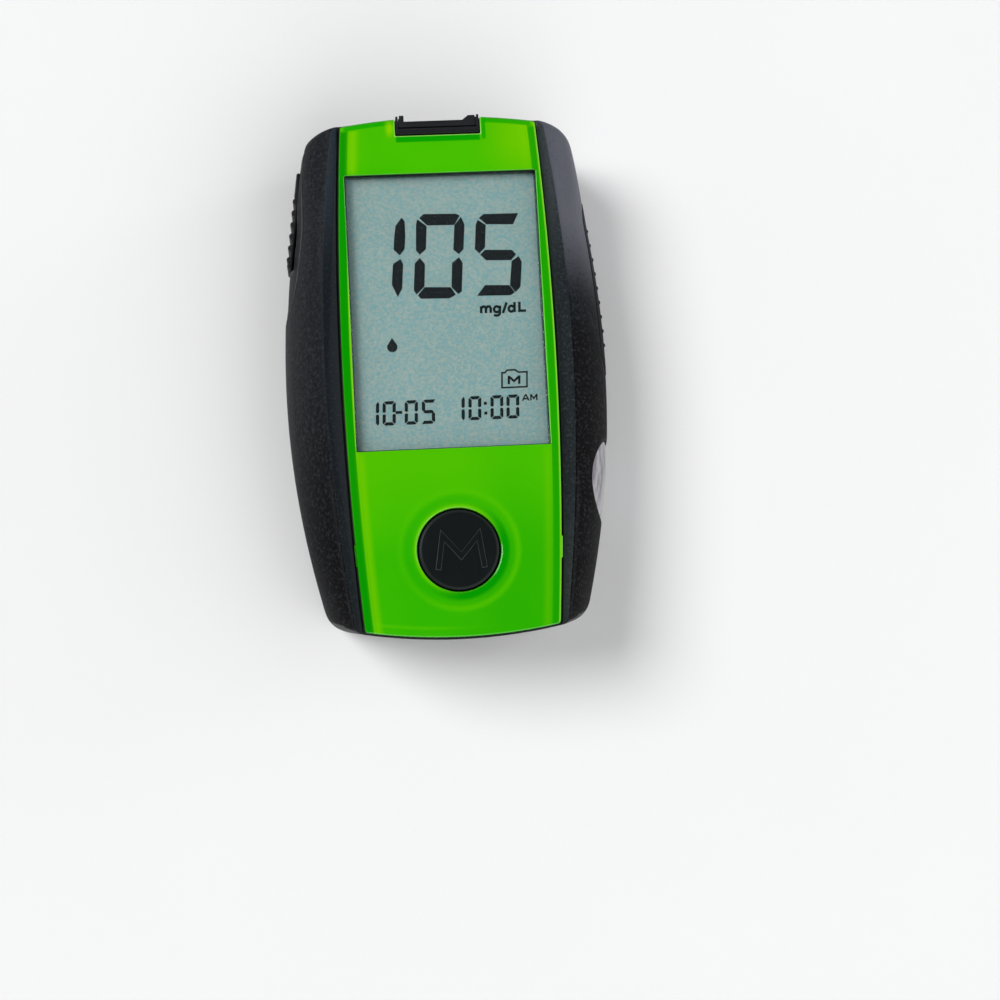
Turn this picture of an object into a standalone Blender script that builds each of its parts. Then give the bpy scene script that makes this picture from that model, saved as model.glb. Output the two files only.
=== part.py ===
"""Blood glucose meter, modelled as its separate pieces.

Frame: millimetres in the constants, metres in the scene. +X is the meter's right, +Y runs
towards the test strip port, +Z comes up out of the display. The back lies on Z = 0 and the
origin is the centre of the outline on that plane.
"""

import math

import bmesh
import bpy
from mathutils import Matrix, Vector

MM = 0.001
GAP = 0.3                 # clearance between neighbouring pieces

# ---------------------------------------------------------------- driving dimensions (mm)
HEIGHT = 26.0             # back to the top of the fascia
TOP_END = 47.95           # end of the shell at the port, on the centre line
BOTTOM_END = 48.1         # end of the shell at the other end
TOP_CROWN = 1.0           # how far each end falls back at X = 18
BOTTOM_CROWN = 1.7
SPAN = 45.3               # Y that makes t = 1 in the width curves
PARTING_Z = 11.8          # plane where the two shells meet
RIDGE_Z = 24.4            # long ridges beside the fascia
WALL = 2.0
ROOF_Z = 22.3             # inside of the upper shell's top wall
SEAT_Z = 23.9             # recess that the fascia lies in

PLATE_Z = (24.2, 26.0)
PLATE_TOP, PLATE_BOTTOM = 47.6, 47.75
PLATE_CROWN = 1.4
NOTCH_HALF, NOTCH_Y = 7.8, 44.2
WINDOW_HALF = (17.45, 25.4)
WINDOW_Y = 11.6           # centre of the display window
TAB_Y = -32.5             # middle of the fascia's side tabs

KEY_Y = -32.2             # round key
KEY_R = 7.25
KEY_TRAVEL = 0.5

LCD_X, LCD_Y0, LCD_Y1 = 17.9, -15.3, 38.2
PCB_Z = (15.2, 16.8)

CELL_R, CELL_LEN = 5.25, 43.3     # AAA cell body; the positive pip adds 0.8
CELL_X, CELL_Z, CELL_Y0 = 5.7, 7.4, -36.4
BAY_X, BAY_Y0, BAY_Y1, BAY_TOP = 11.7, -42.4, 9.4, 13.3
DOOR_X, DOOR_Y0, DOOR_Y1 = 13.4, -44.2, 12.6

SCREWS = ((-17.0, 41.7), (17.0, 41.7), (-18.0, -40.6), (18.0, -40.6))

SIDE_KEY_Y, SIDE_KEY_Z = -19.4, 12.5
SIDE_KEY_A, SIDE_KEY_B = 7.5, 8.1
SLIDER_Y, SLIDER_Z = 30.0, 11.5
SLIDER_TRAVEL = 3.5
PANEL_SET_BACK = 0.35     # the side panel lies a little below the shell round it


# ---------------------------------------------------------------- outline curves
def half_plate(y):
    """Half-width of the fascia."""
    t = y / SPAN
    return 19.38 + 0.22 * t - 1.66 * t * t


def half_ridge(y):
    """Half-width at the long ridge."""
    t = y / SPAN
    return 22.8 + 0.5 * t - 3.25 * t * t - 0.2 * t ** 3


def half_belly(y):
    """Half-width at the widest level."""
    t = y / SPAN
    return 29.95 + 0.28 * t - 6.1 * t * t + 0.62 * t ** 3 + 0.45 * t ** 4


def belly_slope(y):
    return (half_belly(y + 0.05) - half_belly(y - 0.05)) / 0.1


# level: height, share of the way from belly to ridge, inset in X, inset in Y at the top end and at the
# bottom end, corner size at the top end and at the bottom end
LEVELS = (
    (0.0, 0.0, 2.6, 2.8, 2.7, 3.8, 3.8),
    (0.7, 0.0, 1.35, 1.6, 1.95, 3.8, 3.8),
    (2.2, 0.0, 0.5, 0.85, 1.5, 3.6, 3.6),
    (5.5, 0.0, 0.12, 0.5, 1.3, 3.3, 3.3),
    (10.0, 0.0, 0.0, 0.4, 1.05, 3.1, 3.1),
    (13.0, 0.03, 0.0, 0.35, 0.85, 3.0, 3.0),
    (16.0, 0.14, 0.0, 0.28, 0.62, 2.8, 2.8),
    (18.5, 0.30, 0.0, 0.2, 0.42, 2.6, 2.6),
    (20.8, 0.50, 0.0, 0.1, 0.25, 2.3, 2.4),
    (22.8, 0.74, 0.0, 0.03, 0.08, 1.9, 2.0),
    (24.0, 0.93, 0.0, 0.05, 0.0, 1.4, 1.6),
    (24.4, 1.0, 0.15, 0.2, 0.15, 1.2, 1.3),
)


def level_at(z):
    """The outer level's numbers at any height."""
    for low, high in zip(LEVELS, LEVELS[1:]):
        if low[0] <= z <= high[0]:
            k = (z - low[0]) / (high[0] - low[0])
            return [a + k * (b - a) for a, b in zip(low, high)]
    return list(LEVELS[0] if z < LEVELS[0][0] else LEVELS[-1])


def share(f, y):
    """Share of the way from belly to ridge at y: towards the port end the wall stays upright for longer."""
    s = min(max((y - 28.0) / 15.0, 0.0), 1.0)
    return max(f, 0.0) ** (1.0 + 0.9 * s * s * (3.0 - 2.0 * s))


def ring(width, top, bottom, corner_top, corner_bottom, sides=12, bends=4, ends=8):
    """One closed plan outline, anticlockwise: two long sides, two crowned ends, four rounded corners.
    width(y) is the half-width; top(x) and bottom(x) are the ends' distances from the X axis."""
    def quarter(end, sign, corner):
        x = width(sign * 46.0)
        for _ in range(6):
            y = end(x)
            x = width(sign * y)
        on_side = Vector((width(sign * (y - corner)), sign * (y - corner)))
        on_end = Vector((x - corner, sign * end(x - corner)))
        peak = Vector((x, sign * y))
        return on_side, peak, on_end

    side_t, peak_t, end_t = quarter(top, 1.0, corner_top)
    side_b, peak_b, end_b = quarter(bottom, -1.0, corner_bottom)
    right = []
    for i in range(1, ends // 2 + 1):                       # bottom end, centre to corner
        x = end_b.x * i / (ends // 2)
        right.append(Vector((x, -bottom(x))))
    for i in range(1, bends):
        k = i / bends
        right.append((1 - k) ** 2 * end_b + 2 * k * (1 - k) * peak_b + k * k * side_b)
    for i in range(sides + 1):
        y = side_b.y + (side_t.y - side_b.y) * i / sides
        right.append(Vector((width(y), y)))
    for i in range(1, bends):
        k = i / bends
        right.append((1 - k) ** 2 * side_t + 2 * k * (1 - k) * peak_t + k * k * end_t)
    for i in range(ends // 2, 0, -1):
        x = end_t.x * i / (ends // 2)
        right.append(Vector((x, top(x))))
    left = [Vector((-p.x, p.y)) for p in reversed(right)]
    return [Vector((0.0, -bottom(0.0)))] + right + [Vector((0.0, top(0.0)))] + left


def shell_ring(level, inset=0.0):
    """The shell's outline at one level, moved inwards by inset."""
    _, f, dx, dy_top, dy_bottom, corner_top, corner_bottom = level
    def width(y):
        k = share(f, y)
        return (1 - k) * half_belly(y) + k * half_ridge(y) - dx - inset
    def top(x):
        return TOP_END - dy_top - inset - TOP_CROWN * (x / 18.0) ** 2
    def bottom(x):
        return BOTTOM_END - dy_bottom - inset - BOTTOM_CROWN * (x / 18.0) ** 2
    return ring(width, top, bottom, max(corner_top - 0.5 * inset, 0.8), max(corner_bottom - 0.5 * inset, 0.8))


# ---------------------------------------------------------------- scene and helpers
for old in list(bpy.data.objects):
    bpy.data.objects.remove(old, do_unlink=True)

scene = bpy.context.scene
scene.unit_settings.system = "METRIC"
scene.unit_settings.scale_length = 1.0
PARTS = bpy.data.collections.new("blood_glucose_meter")
CUTTERS = bpy.data.collections.new("cutters")
scene.collection.children.link(PARTS)
scene.collection.children.link(CUTTERS)


def material(name, color, roughness, metallic=0.0, transmission=0.0, alpha=1.0):
    mat = bpy.data.materials.new(name)
    mat.use_nodes = True
    bsdf = mat.node_tree.nodes["Principled BSDF"]
    bsdf.inputs["Base Color"].default_value = (*color, 1.0)
    bsdf.inputs["Roughness"].default_value = roughness
    bsdf.inputs["Metallic"].default_value = metallic
    bsdf.inputs["Transmission Weight"].default_value = transmission
    bsdf.inputs["Alpha"].default_value = alpha
    return mat


def make(name, bm, mat=None, cutter=False, matrix=None, smooth=True):
    """A mesh object from bmesh data in millimetres."""
    bmesh.ops.recalc_face_normals(bm, faces=bm.faces)
    bmesh.ops.scale(bm, vec=(MM, MM, MM), verts=bm.verts)
    mesh = bpy.data.meshes.new(name)
    bm.to_mesh(mesh)
    bm.free()
    obj = bpy.data.objects.new(name, mesh)
    if matrix is not None:
        obj.matrix_world = matrix
    if cutter:
        CUTTERS.objects.link(obj)
        obj.hide_render = True
        obj.display_type = "WIRE"
        return obj
    PARTS.objects.link(obj)
    if mat is not None:
        mesh.materials.append(mat)
    if smooth:
        mesh.shade_smooth()
        mesh.set_sharp_from_angle(angle=math.radians(32))
    return obj


def add_box(bm, x0, x1, y0, y1, z0, z1):
    made = bmesh.ops.create_cube(bm, size=1.0)["verts"]
    bmesh.ops.scale(bm, vec=(x1 - x0, y1 - y0, z1 - z0), verts=made)
    bmesh.ops.translate(bm, vec=((x0 + x1) / 2, (y0 + y1) / 2, (z0 + z1) / 2), verts=made)
    return made


def box(name, x0, x1, y0, y1, z0, z1, mat=None, cutter=False, matrix=None, bevel=0.0):
    bm = bmesh.new()
    add_box(bm, x0, x1, y0, y1, z0, z1)
    obj = make(name, bm, mat, cutter, matrix, smooth=False)
    if bevel:
        add_bevel(obj, bevel)
    return obj


def add_bevel(obj, width, segments=1, angle=40):
    mod = obj.modifiers.new("rounded edges", "BEVEL")
    mod.width = width * MM
    mod.segments = segments
    mod.limit_method = "ANGLE"
    mod.angle_limit = math.radians(angle)
    return mod


def cyl(name, x, y, z0, z1, r, mat=None, cutter=False, axis="Z", steps=32, r2=None, matrix=None):
    """A cylinder or cone; for axis X or Y the z0 and z1 run along that axis and x, y are the other two."""
    bm = bmesh.new()
    made = bmesh.ops.create_cone(bm, cap_ends=True, cap_tris=False, segments=steps,
                                 radius1=r, radius2=r if r2 is None else r2, depth=z1 - z0)["verts"]
    bmesh.ops.translate(bm, vec=(0, 0, (z0 + z1) / 2), verts=made)
    if axis == "Y":
        bmesh.ops.rotate(bm, cent=(0, 0, 0), matrix=Matrix.Rotation(-math.pi / 2, 3, "X"), verts=made)
        bmesh.ops.translate(bm, vec=(x, 0, y), verts=made)
    elif axis == "X":
        bmesh.ops.rotate(bm, cent=(0, 0, 0), matrix=Matrix.Rotation(math.pi / 2, 3, "Y"), verts=made)
        bmesh.ops.translate(bm, vec=(0, x, y), verts=made)
    else:
        bmesh.ops.translate(bm, vec=(x, y, 0), verts=made)
    return make(name, bm, mat, cutter, matrix)


def turned(name, profile, mat=None, cutter=False, steps=32, matrix=None):
    """A profile of (radius, height) from the top down, spun about Z with a Screw modifier."""
    mesh = bpy.data.meshes.new(name)
    mesh.from_pydata([(r * MM, 0.0, z * MM) for r, z in profile],
                     [(i, i + 1) for i in range(len(profile) - 1)], [])
    obj = bpy.data.objects.new(name, mesh)
    (CUTTERS if cutter else PARTS).objects.link(obj)
    if cutter:
        obj.hide_render = True
        obj.display_type = "WIRE"
    if mat is not None:
        mesh.materials.append(mat)
    if matrix is not None:
        obj.matrix_world = matrix
    mod = obj.modifiers.new("turned", "SCREW")
    mod.axis = "Z"
    mod.steps = mod.render_steps = steps
    mod.use_merge_vertices = True
    mod.merge_threshold = 1e-6
    mod.use_smooth_shade = True
    return obj


def slab(name, outlines, z0, z1, mat=None, cutter=False, matrix=None):
    """A flat plate from closed outlines (the first is the edge, the others are holes), as a filled 2D curve."""
    curve = bpy.data.curves.new(name + "_outline", "CURVE")
    curve.dimensions = "2D"
    curve.fill_mode = "BOTH"
    curve.extrude = (z1 - z0) / 2 * MM
    for outline in outlines:
        spline = curve.splines.new("POLY")
        spline.points.add(len(outline) - 1)
        for point, (x, y) in zip(spline.points, outline):
            point.co = (x * MM, y * MM, 0.0, 1.0)
        spline.use_cyclic_u = True
    helper = bpy.data.objects.new(name + "_outline", curve)
    scene.collection.objects.link(helper)
    graph = bpy.context.evaluated_depsgraph_get()
    mesh = bpy.data.meshes.new_from_object(helper.evaluated_get(graph))
    bpy.data.objects.remove(helper, do_unlink=True)
    bm = bmesh.new()
    bm.from_mesh(mesh)
    bpy.data.meshes.remove(mesh)
    bmesh.ops.remove_doubles(bm, verts=bm.verts, dist=1e-6)
    bmesh.ops.scale(bm, vec=(1 / MM, 1 / MM, 1 / MM), verts=bm.verts)
    bmesh.ops.translate(bm, vec=(0, 0, (z0 + z1) / 2), verts=bm.verts)
    return make(name, bm, mat, cutter, matrix, smooth=False)


def loft(name, rings, mat=None, cutter=False):
    """A closed body through a stack of (height, outline) sections that have the same number of points."""
    bm = bmesh.new()
    rows = [[bm.verts.new((p.x, p.y, z)) for p in points] for z, points in rings]
    count = len(rows[0])
    for low, high in zip(rows, rows[1:]):
        for i in range(count):
            j = (i + 1) % count
            bm.faces.new((low[i], low[j], high[j], high[i]))
    bm.faces.new(list(reversed(rows[0])))
    bm.faces.new(rows[-1])
    return make(name, bm, mat, cutter)


def boolean(obj, other, operation="DIFFERENCE"):
    mod = obj.modifiers.new(f"{operation.lower()} {other.name}", "BOOLEAN")
    mod.operation = operation
    mod.solver = "EXACT"
    mod.object = other


def cut(obj, *others):
    for other in others:
        boolean(obj, other)


def join(obj, *others):
    for other in others:
        boolean(obj, other, "UNION")


def rounded_rect(x0, x1, y0, y1, r, n=4):
    points = []
    for cx, cy, start in ((x1 - r, y1 - r, 0), (x0 + r, y1 - r, 90), (x0 + r, y0 + r, 180), (x1 - r, y0 + r, 270)):
        for i in range(n + 1):
            a = math.radians(start + 90 * i / n)
            points.append((cx + r * math.cos(a), cy + r * math.sin(a)))
    return points


def circle(x, y, r, n=40):
    return [(x + r * math.cos(2 * math.pi * i / n), y + r * math.sin(2 * math.pi * i / n)) for i in range(n)]


def coil(name, mat, origin, axis, length, radius, wire, turns, per_turn=10, end_radius=None):
    """An open coil spring as a bevelled POLY curve."""
    curve = bpy.data.curves.new(name, "CURVE")
    curve.dimensions = "3D"
    curve.bevel_depth = wire * MM
    curve.bevel_resolution = 1
    curve.use_fill_caps = True
    spline = curve.splines.new("POLY")
    count = int(turns * per_turn)
    spline.points.add(count)
    for i in range(count + 1):
        k = i / count
        a = 2 * math.pi * turns * k
        r = radius if end_radius is None else radius + (end_radius - radius) * k
        local = (r * math.cos(a), r * math.sin(a), length * k)
        if axis == "Y":
            local = (local[0], local[2], local[1])
        spline.points[i].co = ((origin[0] + local[0]) * MM, (origin[1] + local[1]) * MM,
                               (origin[2] + local[2]) * MM, 1.0)
    obj = bpy.data.objects.new(name, curve)
    PARTS.objects.link(obj)
    curve.materials.append(mat)
    return obj


# ---------------------------------------------------------------- materials
BLACK = material("black_shell", (0.016, 0.019, 0.022), 0.5)
BLACK_SOFT = material("black_rubber", (0.02, 0.021, 0.023), 0.75)
BLACK_SATIN = material("black_satin", (0.010, 0.012, 0.013), 0.35)
GREEN = material("green_acrylic", (0.045, 0.48, 0.0), 0.12)
CLEAR = material("clear_acrylic", (0.92, 0.97, 0.95), 0.03, transmission=1.0)
LCD = material("display_glass", (0.27, 0.40, 0.37), 0.2)
WHITE = material("white_tray", (0.75, 0.76, 0.74), 0.5)
CHROME = material("chrome", (0.85, 0.86, 0.88), 0.08, 1.0)
BOARD = material("board_green", (0.01, 0.10, 0.03), 0.45)
CHIP = material("chip_black", (0.02, 0.02, 0.02), 0.4)
STEEL = material("steel", (0.55, 0.56, 0.57), 0.3, 1.0)
GOLD = material("gold_contact", (0.85, 0.60, 0.22), 0.25, 1.0)
GREY_RUBBER = material("elastomer_grey", (0.18, 0.18, 0.19), 0.7)
CELL = material("cell_jacket", (0.05, 0.09, 0.16), 0.35)
NYLON = material("ivory_nylon", (0.62, 0.58, 0.48), 0.5)


# ---------------------------------------------------------------- shells
outer_rings = [(level[0], shell_ring(level)) for level in LEVELS]


def shell_body(name, inset, z0, z1, cutter=False, mat=None):
    """The shell's outer form moved inwards by inset, between two heights."""
    heights = [z0] + [level[0] for level in LEVELS if z0 + 0.2 < level[0] < z1 - 0.2] + [z1]
    return loft(name, [(z, shell_ring(level_at(z), inset)) for z in heights], mat, cutter)


front_case = shell_body("front_case", 0.0, PARTING_Z + GAP / 2, RIDGE_Z, mat=BLACK)
rear_case = shell_body("rear_case", 0.0, 0.0, PARTING_Z - GAP / 2, mat=BLACK)

cut(front_case, shell_body("front_hollow", WALL, 10.0, ROOF_Z, cutter=True))
cut(rear_case, shell_body("rear_hollow", WALL, WALL, 13.5, cutter=True))

# seat of the fascia, open at both ends
seat = [(half_plate(y) + 0.35, y) for y in [i * 4.0 for i in range(-13, 14)]]
cut(front_case, slab("seat_cut", [seat + [(-x, y) for x, y in reversed(seat)]], SEAT_Z, 28.0, cutter=True))

# opening for the display glass, bore for the round key
cut(front_case, box("display_cut", -LCD_X - GAP, LCD_X + GAP, LCD_Y0 - GAP, LCD_Y1 + GAP, 20.5, 25.0, cutter=True))
cut(front_case, cyl("key_bore", 0, KEY_Y, 20.5, 25.0, KEY_R + 0.35, cutter=True, steps=40))

# nested rim round the strip port, then the port's opening through both shells
rim = box("port_rim", -7.45, 7.45, 44.5, 47.9, 22.8, 25.85, cutter=True)
join(front_case, rim)
port_cut = box("port_cut", -7.2, 7.2, 45.6, 50.0, 10.3, 28.0, cutter=True)
port_way = box("port_way", -7.2, 7.2, 44.0, 46.5, 10.3, 22.3, cutter=True)
cut(front_case, port_cut, port_way)
cut(rear_case, port_cut, port_way)

# screw bosses
for i, (x, y) in enumerate(SCREWS, 1):
    join(front_case, cyl(f"front_boss_{i}", x, y, PARTING_Z + GAP / 2, 23.0, 2.7, cutter=True, steps=24))
    join(rear_case, cyl(f"rear_boss_{i}", x, y, 1.6, PARTING_Z - GAP / 2, 3.2, cutter=True, steps=24))
for i, (x, y) in enumerate(SCREWS, 1):
    cut(front_case, cyl(f"pilot_hole_{i}", x, y, 10.0, 19.6, 1.3, cutter=True, steps=16))
    cut(rear_case, cyl(f"screw_hole_{i}", x, y, 4.0, 14.0, 1.4, cutter=True, steps=16))
    cut(rear_case, cyl(f"head_hole_{i}", x, y, -2.0, 5.2, 2.3, cutter=True, steps=24))

# battery bay: a tub that opens at the back
join(rear_case, box("bay_outer", -BAY_X - 1.2, BAY_X + 1.2, BAY_Y0 - 1.2, BAY_Y1 + 1.2, 1.0, BAY_TOP + 1.2, cutter=True))
join(rear_case, box("bay_ledge", -DOOR_X - 1.6, DOOR_X + 1.6, DOOR_Y0 - 0.6, DOOR_Y1 + 1.6, 1.2, 3.4, cutter=True))
cut(rear_case, box("bay_inner", -BAY_X, BAY_X, BAY_Y0, BAY_Y1, -2.0, BAY_TOP, cutter=True))
cut(rear_case, slab("door_seat", [rounded_rect(-DOOR_X - GAP, DOOR_X + GAP, DOOR_Y0 - GAP, DOOR_Y1 + GAP, 1.5)],
                    -2.0, 1.8, cutter=True))
for side in (-1, 1):                                          # pockets for the door's two tabs
    x0, x1 = sorted((side * 9.4, side * 11.7))
    cut(rear_case, box(f"tab_pocket_{side}", x0, x1, -45.05, -42.0, 1.5, 5.6, cutter=True))
cut(rear_case, box("latch_pocket", -4.6, 4.6, 8.0, 12.4, 1.5, 6.0, cutter=True))
cut(rear_case, cyl("thumb_recess", 0, 14.6, -2.0, 1.0, 5.0, cutter=True, steps=32))

# ---------------------------------------------------------------- left side panel
# side view outline of the panel: a tongue from the top corner that ends in a rounded point
def panel_outline(grow):
    top = [(45.0, 19.4), (38.0, 19.4), (30.0, 19.2), (22.0, 18.6), (18.0, 17.6), (15.2, 15.6), (13.6, 13.2)]
    low = [(13.2, 11.4), (13.9, 9.0), (15.8, 6.6), (19.0, 4.9), (24.0, 4.2), (34.0, 3.9), (45.0, 3.9)]
    points = [Vector(p) for p in top + low]
    centre = Vector((30.0, 11.6))
    grown = []
    for p in points:
        d = Vector((0.0, 1.0 if p.y > centre.y else -1.0)) if p.x > 19.5 else (p - Vector((20.0, 11.5))).normalized()
        q = p + d * grow
        if p.x > 44.9:
            q.x += grow
        grown.append((q.x, q.y))
    return grown


# the slab is drawn in (Y, Z) and stood up, so that it runs along X
STAND = Matrix(((0, 0, 1, 0), (1, 0, 0, 0), (0, 1, 0, 0), (0, 0, 0, 1)))


def side_prism(name, outline, x0, x1):
    return slab(name, [outline], x0, x1, cutter=True, matrix=STAND)


panel_hole = side_prism("panel_hole", panel_outline(GAP), -40.0, -20.7)
cut(front_case, panel_hole)
cut(rear_case, panel_hole)

left_side_panel = shell_body("left_side_panel", PANEL_SET_BACK, 2.5, 20.6, mat=BLACK)
boolean(left_side_panel, side_prism("panel_edge", panel_outline(0.0), -40.0, -21.0), "INTERSECT")
cut(left_side_panel, shell_body("panel_inside", 3.0, 1.0, 21.5, cutter=True))
panel_lip = shell_body("panel_lip", WALL + GAP, 2.6, 20.5, cutter=True)
panel_lip.hide_render = True
boolean(panel_lip, side_prism("lip_edge", panel_outline(1.1), -40.0, -21.0), "INTERSECT")
cut(panel_lip, shell_body("lip_inside", 3.0, 1.2, 21.4, cutter=True))
join(left_side_panel, panel_lip)


# ---------------------------------------------------------------- ejector, on the left side
def side_frame(sign, y, z):
    """Local axes on a side wall: X along the wall (towards the port on the left), Y out of the wall, Z up."""
    slope = belly_slope(y)
    along = Vector((-slope, -sign, 0.0)).normalized()
    out = Vector((sign, -slope, 0.0)).normalized()
    m = Matrix.Identity(4)
    for row in range(3):
        m[row][0], m[row][1], m[row][2] = along[row], out[row], (0.0, 0.0, 1.0)[row]
    m.translation = Vector((sign * half_belly(y), y, z)) * MM
    return m


SLIDE = side_frame(-1, SLIDER_Y, SLIDER_Z)
THUMB_U = (-7.2, 11.0)

recess = box("slider_recess", THUMB_U[0] - 0.35, THUMB_U[1] + SLIDER_TRAVEL + 0.35, -1.3, 4.0, -4.45, 4.45,
             cutter=True, matrix=SLIDE)
neck_slot = box("neck_slot", -2.4, 2.0 + SLIDER_TRAVEL + 0.4, -9.0, 2.0, -1.9, 1.9, cutter=True, matrix=SLIDE)
cut(left_side_panel, recess, neck_slot)

ejector_slider = box("ejector_slider", THUMB_U[0], THUMB_U[1], -0.95, 0.02, -4.1, 4.1, mat=BLACK, matrix=SLIDE)
cut(ejector_slider, box("rib_field", -6.5, 6.5, -0.5, 2.0, -5.0, 5.0, cutter=True, matrix=SLIDE))
for i in range(6):
    rib = cyl(f"slider_rib_{i}", 0, 0, -4.0, 4.0, 0.6, cutter=True, steps=12,
              matrix=SLIDE @ Matrix.Translation(Vector((-5.6 + 2.24 * i, -0.38, 0.0)) * MM))
    join(ejector_slider, rib)
join(ejector_slider, box("slider_neck", -2.0, 2.0, -4.6, -0.6, -1.5, 1.5, cutter=True, matrix=SLIDE))

# pusher arm behind the strip connector
ARM_Z = (12.3, 14.3)
arm_plan = [(-23.0, 25.6), (-21.9, 25.6), (-20.6, 26.4), (2.6, 26.4), (2.6, 33.2), (-2.6, 33.2), (-2.6, 28.6),
            (-12.4, 28.6), (-12.4, 30.9), (-15.6, 30.9), (-15.6, 28.6), (-20.8, 28.6), (-21.6, 32.6), (-22.8, 32.6)]
ejector_arm = slab("ejector_arm", [arm_plan], ARM_Z[0], ARM_Z[1], mat=NYLON)
cut(ejector_arm, box("tongue_top", -3.2, 3.2, 28.45, 34.0, 13.75, 16.0, cutter=True))
cut(ejector_arm, box("tongue_low", -3.2, 3.2, 28.45, 34.0, 11.0, 13.15, cutter=True))
ejector_spring = coil("ejector_spring", STEEL, (-14.0, 31.5, 13.3), "Y", 8.3, 1.1, 0.18, 5, per_turn=10)
spring_stop = box("spring_stop", -15.5, -12.6, 40.3, 41.6, 12.1, 22.8, cutter=True)
join(front_case, spring_stop)

# ---------------------------------------------------------------- right grip pad
PAD_Y = (0.9, 33.9)
pad_outline = rounded_rect(PAD_Y[0], PAD_Y[1], 6.6, 16.4, 4.6, n=6)
pad_hole = rounded_rect(PAD_Y[0] - GAP, PAD_Y[1] + GAP, 6.6 - GAP, 16.4 + GAP, 4.9, n=6)
pad_recess = shell_body("pad_recess", -2.0, 4.0, 19.5, cutter=True)
boolean(pad_recess, side_prism("pad_hole", pad_hole, 16.0, 40.0), "INTERSECT")
cut(pad_recess, shell_body("pad_floor", 1.0, 3.0, 20.5, cutter=True))
cut(front_case, pad_recess)
cut(rear_case, pad_recess)
right_grip_pad = shell_body("right_grip_pad", -0.12, 4.2, 19.3, mat=BLACK_SOFT)
boolean(right_grip_pad, side_prism("pad_edge", pad_outline, 16.0, 40.0), "INTERSECT")
cut(right_grip_pad, shell_body("pad_inside", 0.75, 3.2, 20.3, cutter=True))
for i in range(9):
    y = 6.4 + 2.75 * i
    frame = side_frame(1, y, 10.2)
    join(right_grip_pad, cyl(f"pad_rib_{i}", 0, 0, -2.6, 2.6, 0.5, cutter=True, steps=10,
                             matrix=frame @ Matrix.Translation(Vector((0.0, -0.30, 0.0)) * MM)))

# ---------------------------------------------------------------- side key
SIDE = side_frame(1, SIDE_KEY_Y, SIDE_KEY_Z)


def wall_depth(u, w):
    """How far the shell's surface lies behind the side key's plane, u along the wall and w up from its middle."""
    y = SIDE_KEY_Y + u * SIDE[1][0]
    level = level_at(SIDE_KEY_Z + w)
    return min(0.0, (1 - level[1]) * half_belly(y) + level[1] * half_ridge(y) - level[2] - SIDE[0][3] / MM - u * SIDE[0][0])


def oval(name, profile, mat=None, cutter=False, steps=28, a=SIDE_KEY_A, b=SIDE_KEY_B):
    """A form with an oval section that stands out of the right wall; a profile row is the long half-axis, the
    height and the share of the wall's own curve that is added to it."""
    bm = bmesh.new()
    rows = []
    for r, h, follow in profile:
        row = []
        for i in range(steps):
            u, w = r * math.cos(2 * math.pi * i / steps), r * b / a * math.sin(2 * math.pi * i / steps)
            row.append(bm.verts.new((u, h + follow * wall_depth(u, w), w)))
        rows.append(row)
    for one, two in zip(rows, rows[1:]):
        for i in range(steps):
            j = (i + 1) % steps
            bm.faces.new((one[i], one[j], two[j], two[i]))
    bm.faces.new(rows[0])
    bm.faces.new(list(reversed(rows[-1])))
    return make(name, bm, mat, cutter, SIDE)


key_well = oval("side_key_well", [(SIDE_KEY_A + GAP, 6.0, 0.0), (SIDE_KEY_A + GAP, -6.9, 0.0)], cutter=True)
cut(front_case, key_well)
cut(rear_case, key_well)
dome = [(SIDE_KEY_A * k, -0.9 + 0.9 * (1 - k ** 3) ** (1 / 3), 1.0) for k in (0.1, 0.3, 0.5, 0.68, 0.82, 0.92, 0.98, 1.0)]
side_key = oval("side_key", dome + [(SIDE_KEY_A, -5.6, 0.0), (4.0, -5.6, 0.0), (4.0, -6.1, 0.0)], mat=CHROME)
join(side_key, box("side_key_wings", -8.9, 8.9, -4.4, -3.3, -3.4, 2.0, cutter=True, matrix=SIDE))
join(side_key, box("side_key_stem", -1.5, 1.5, -6.6, -5.9, -1.5, 1.5, cutter=True, matrix=SIDE))

side_switch = box("side_switch", -3.0, 3.0, -11.2, -7.6, -1.8, 1.8, mat=CHIP, matrix=SIDE)
cut(side_switch, cyl("side_switch_hole", 0, 0, -10.2, -7.0, 1.1, cutter=True, axis="Y", steps=16, matrix=SIDE))
side_switch_plunger = cyl("side_switch_plunger", 0, 0, -9.4, -6.9, 0.8, mat=NYLON, axis="Y", steps=16, matrix=SIDE)

# ---------------------------------------------------------------- fascia and display
def plate_outline():
    def top(x):
        return PLATE_TOP - PLATE_CROWN * (x / 17.9) ** 2
    def bottom(x):
        return PLATE_BOTTOM - 1.55 * (x / 17.4) ** 2
    points = [(p.x, p.y) for p in ring(half_plate, top, bottom, 0.6, 0.6, sides=16, bends=3, ends=12)]
    outline = []
    for x, y in points:
        if y > 44.0 and abs(x) <= NOTCH_HALF:
            continue                                        # the notch takes the middle of the top end
        outline.append((x, y))
        if y > 44.0 and x > 0 and len(outline) and not any(abs(px + NOTCH_HALF) < 1e-6 for px, _ in outline):
            nearest = min(abs(px) for px, py in points if py > 44.0 and abs(px) > NOTCH_HALF)
            if abs(abs(x) - nearest) < 1e-6:
                outline += [(NOTCH_HALF, top(NOTCH_HALF)), (NOTCH_HALF, NOTCH_Y), (-NOTCH_HALF, NOTCH_Y),
                            (-NOTCH_HALF, top(NOTCH_HALF))]
    return outline


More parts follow.
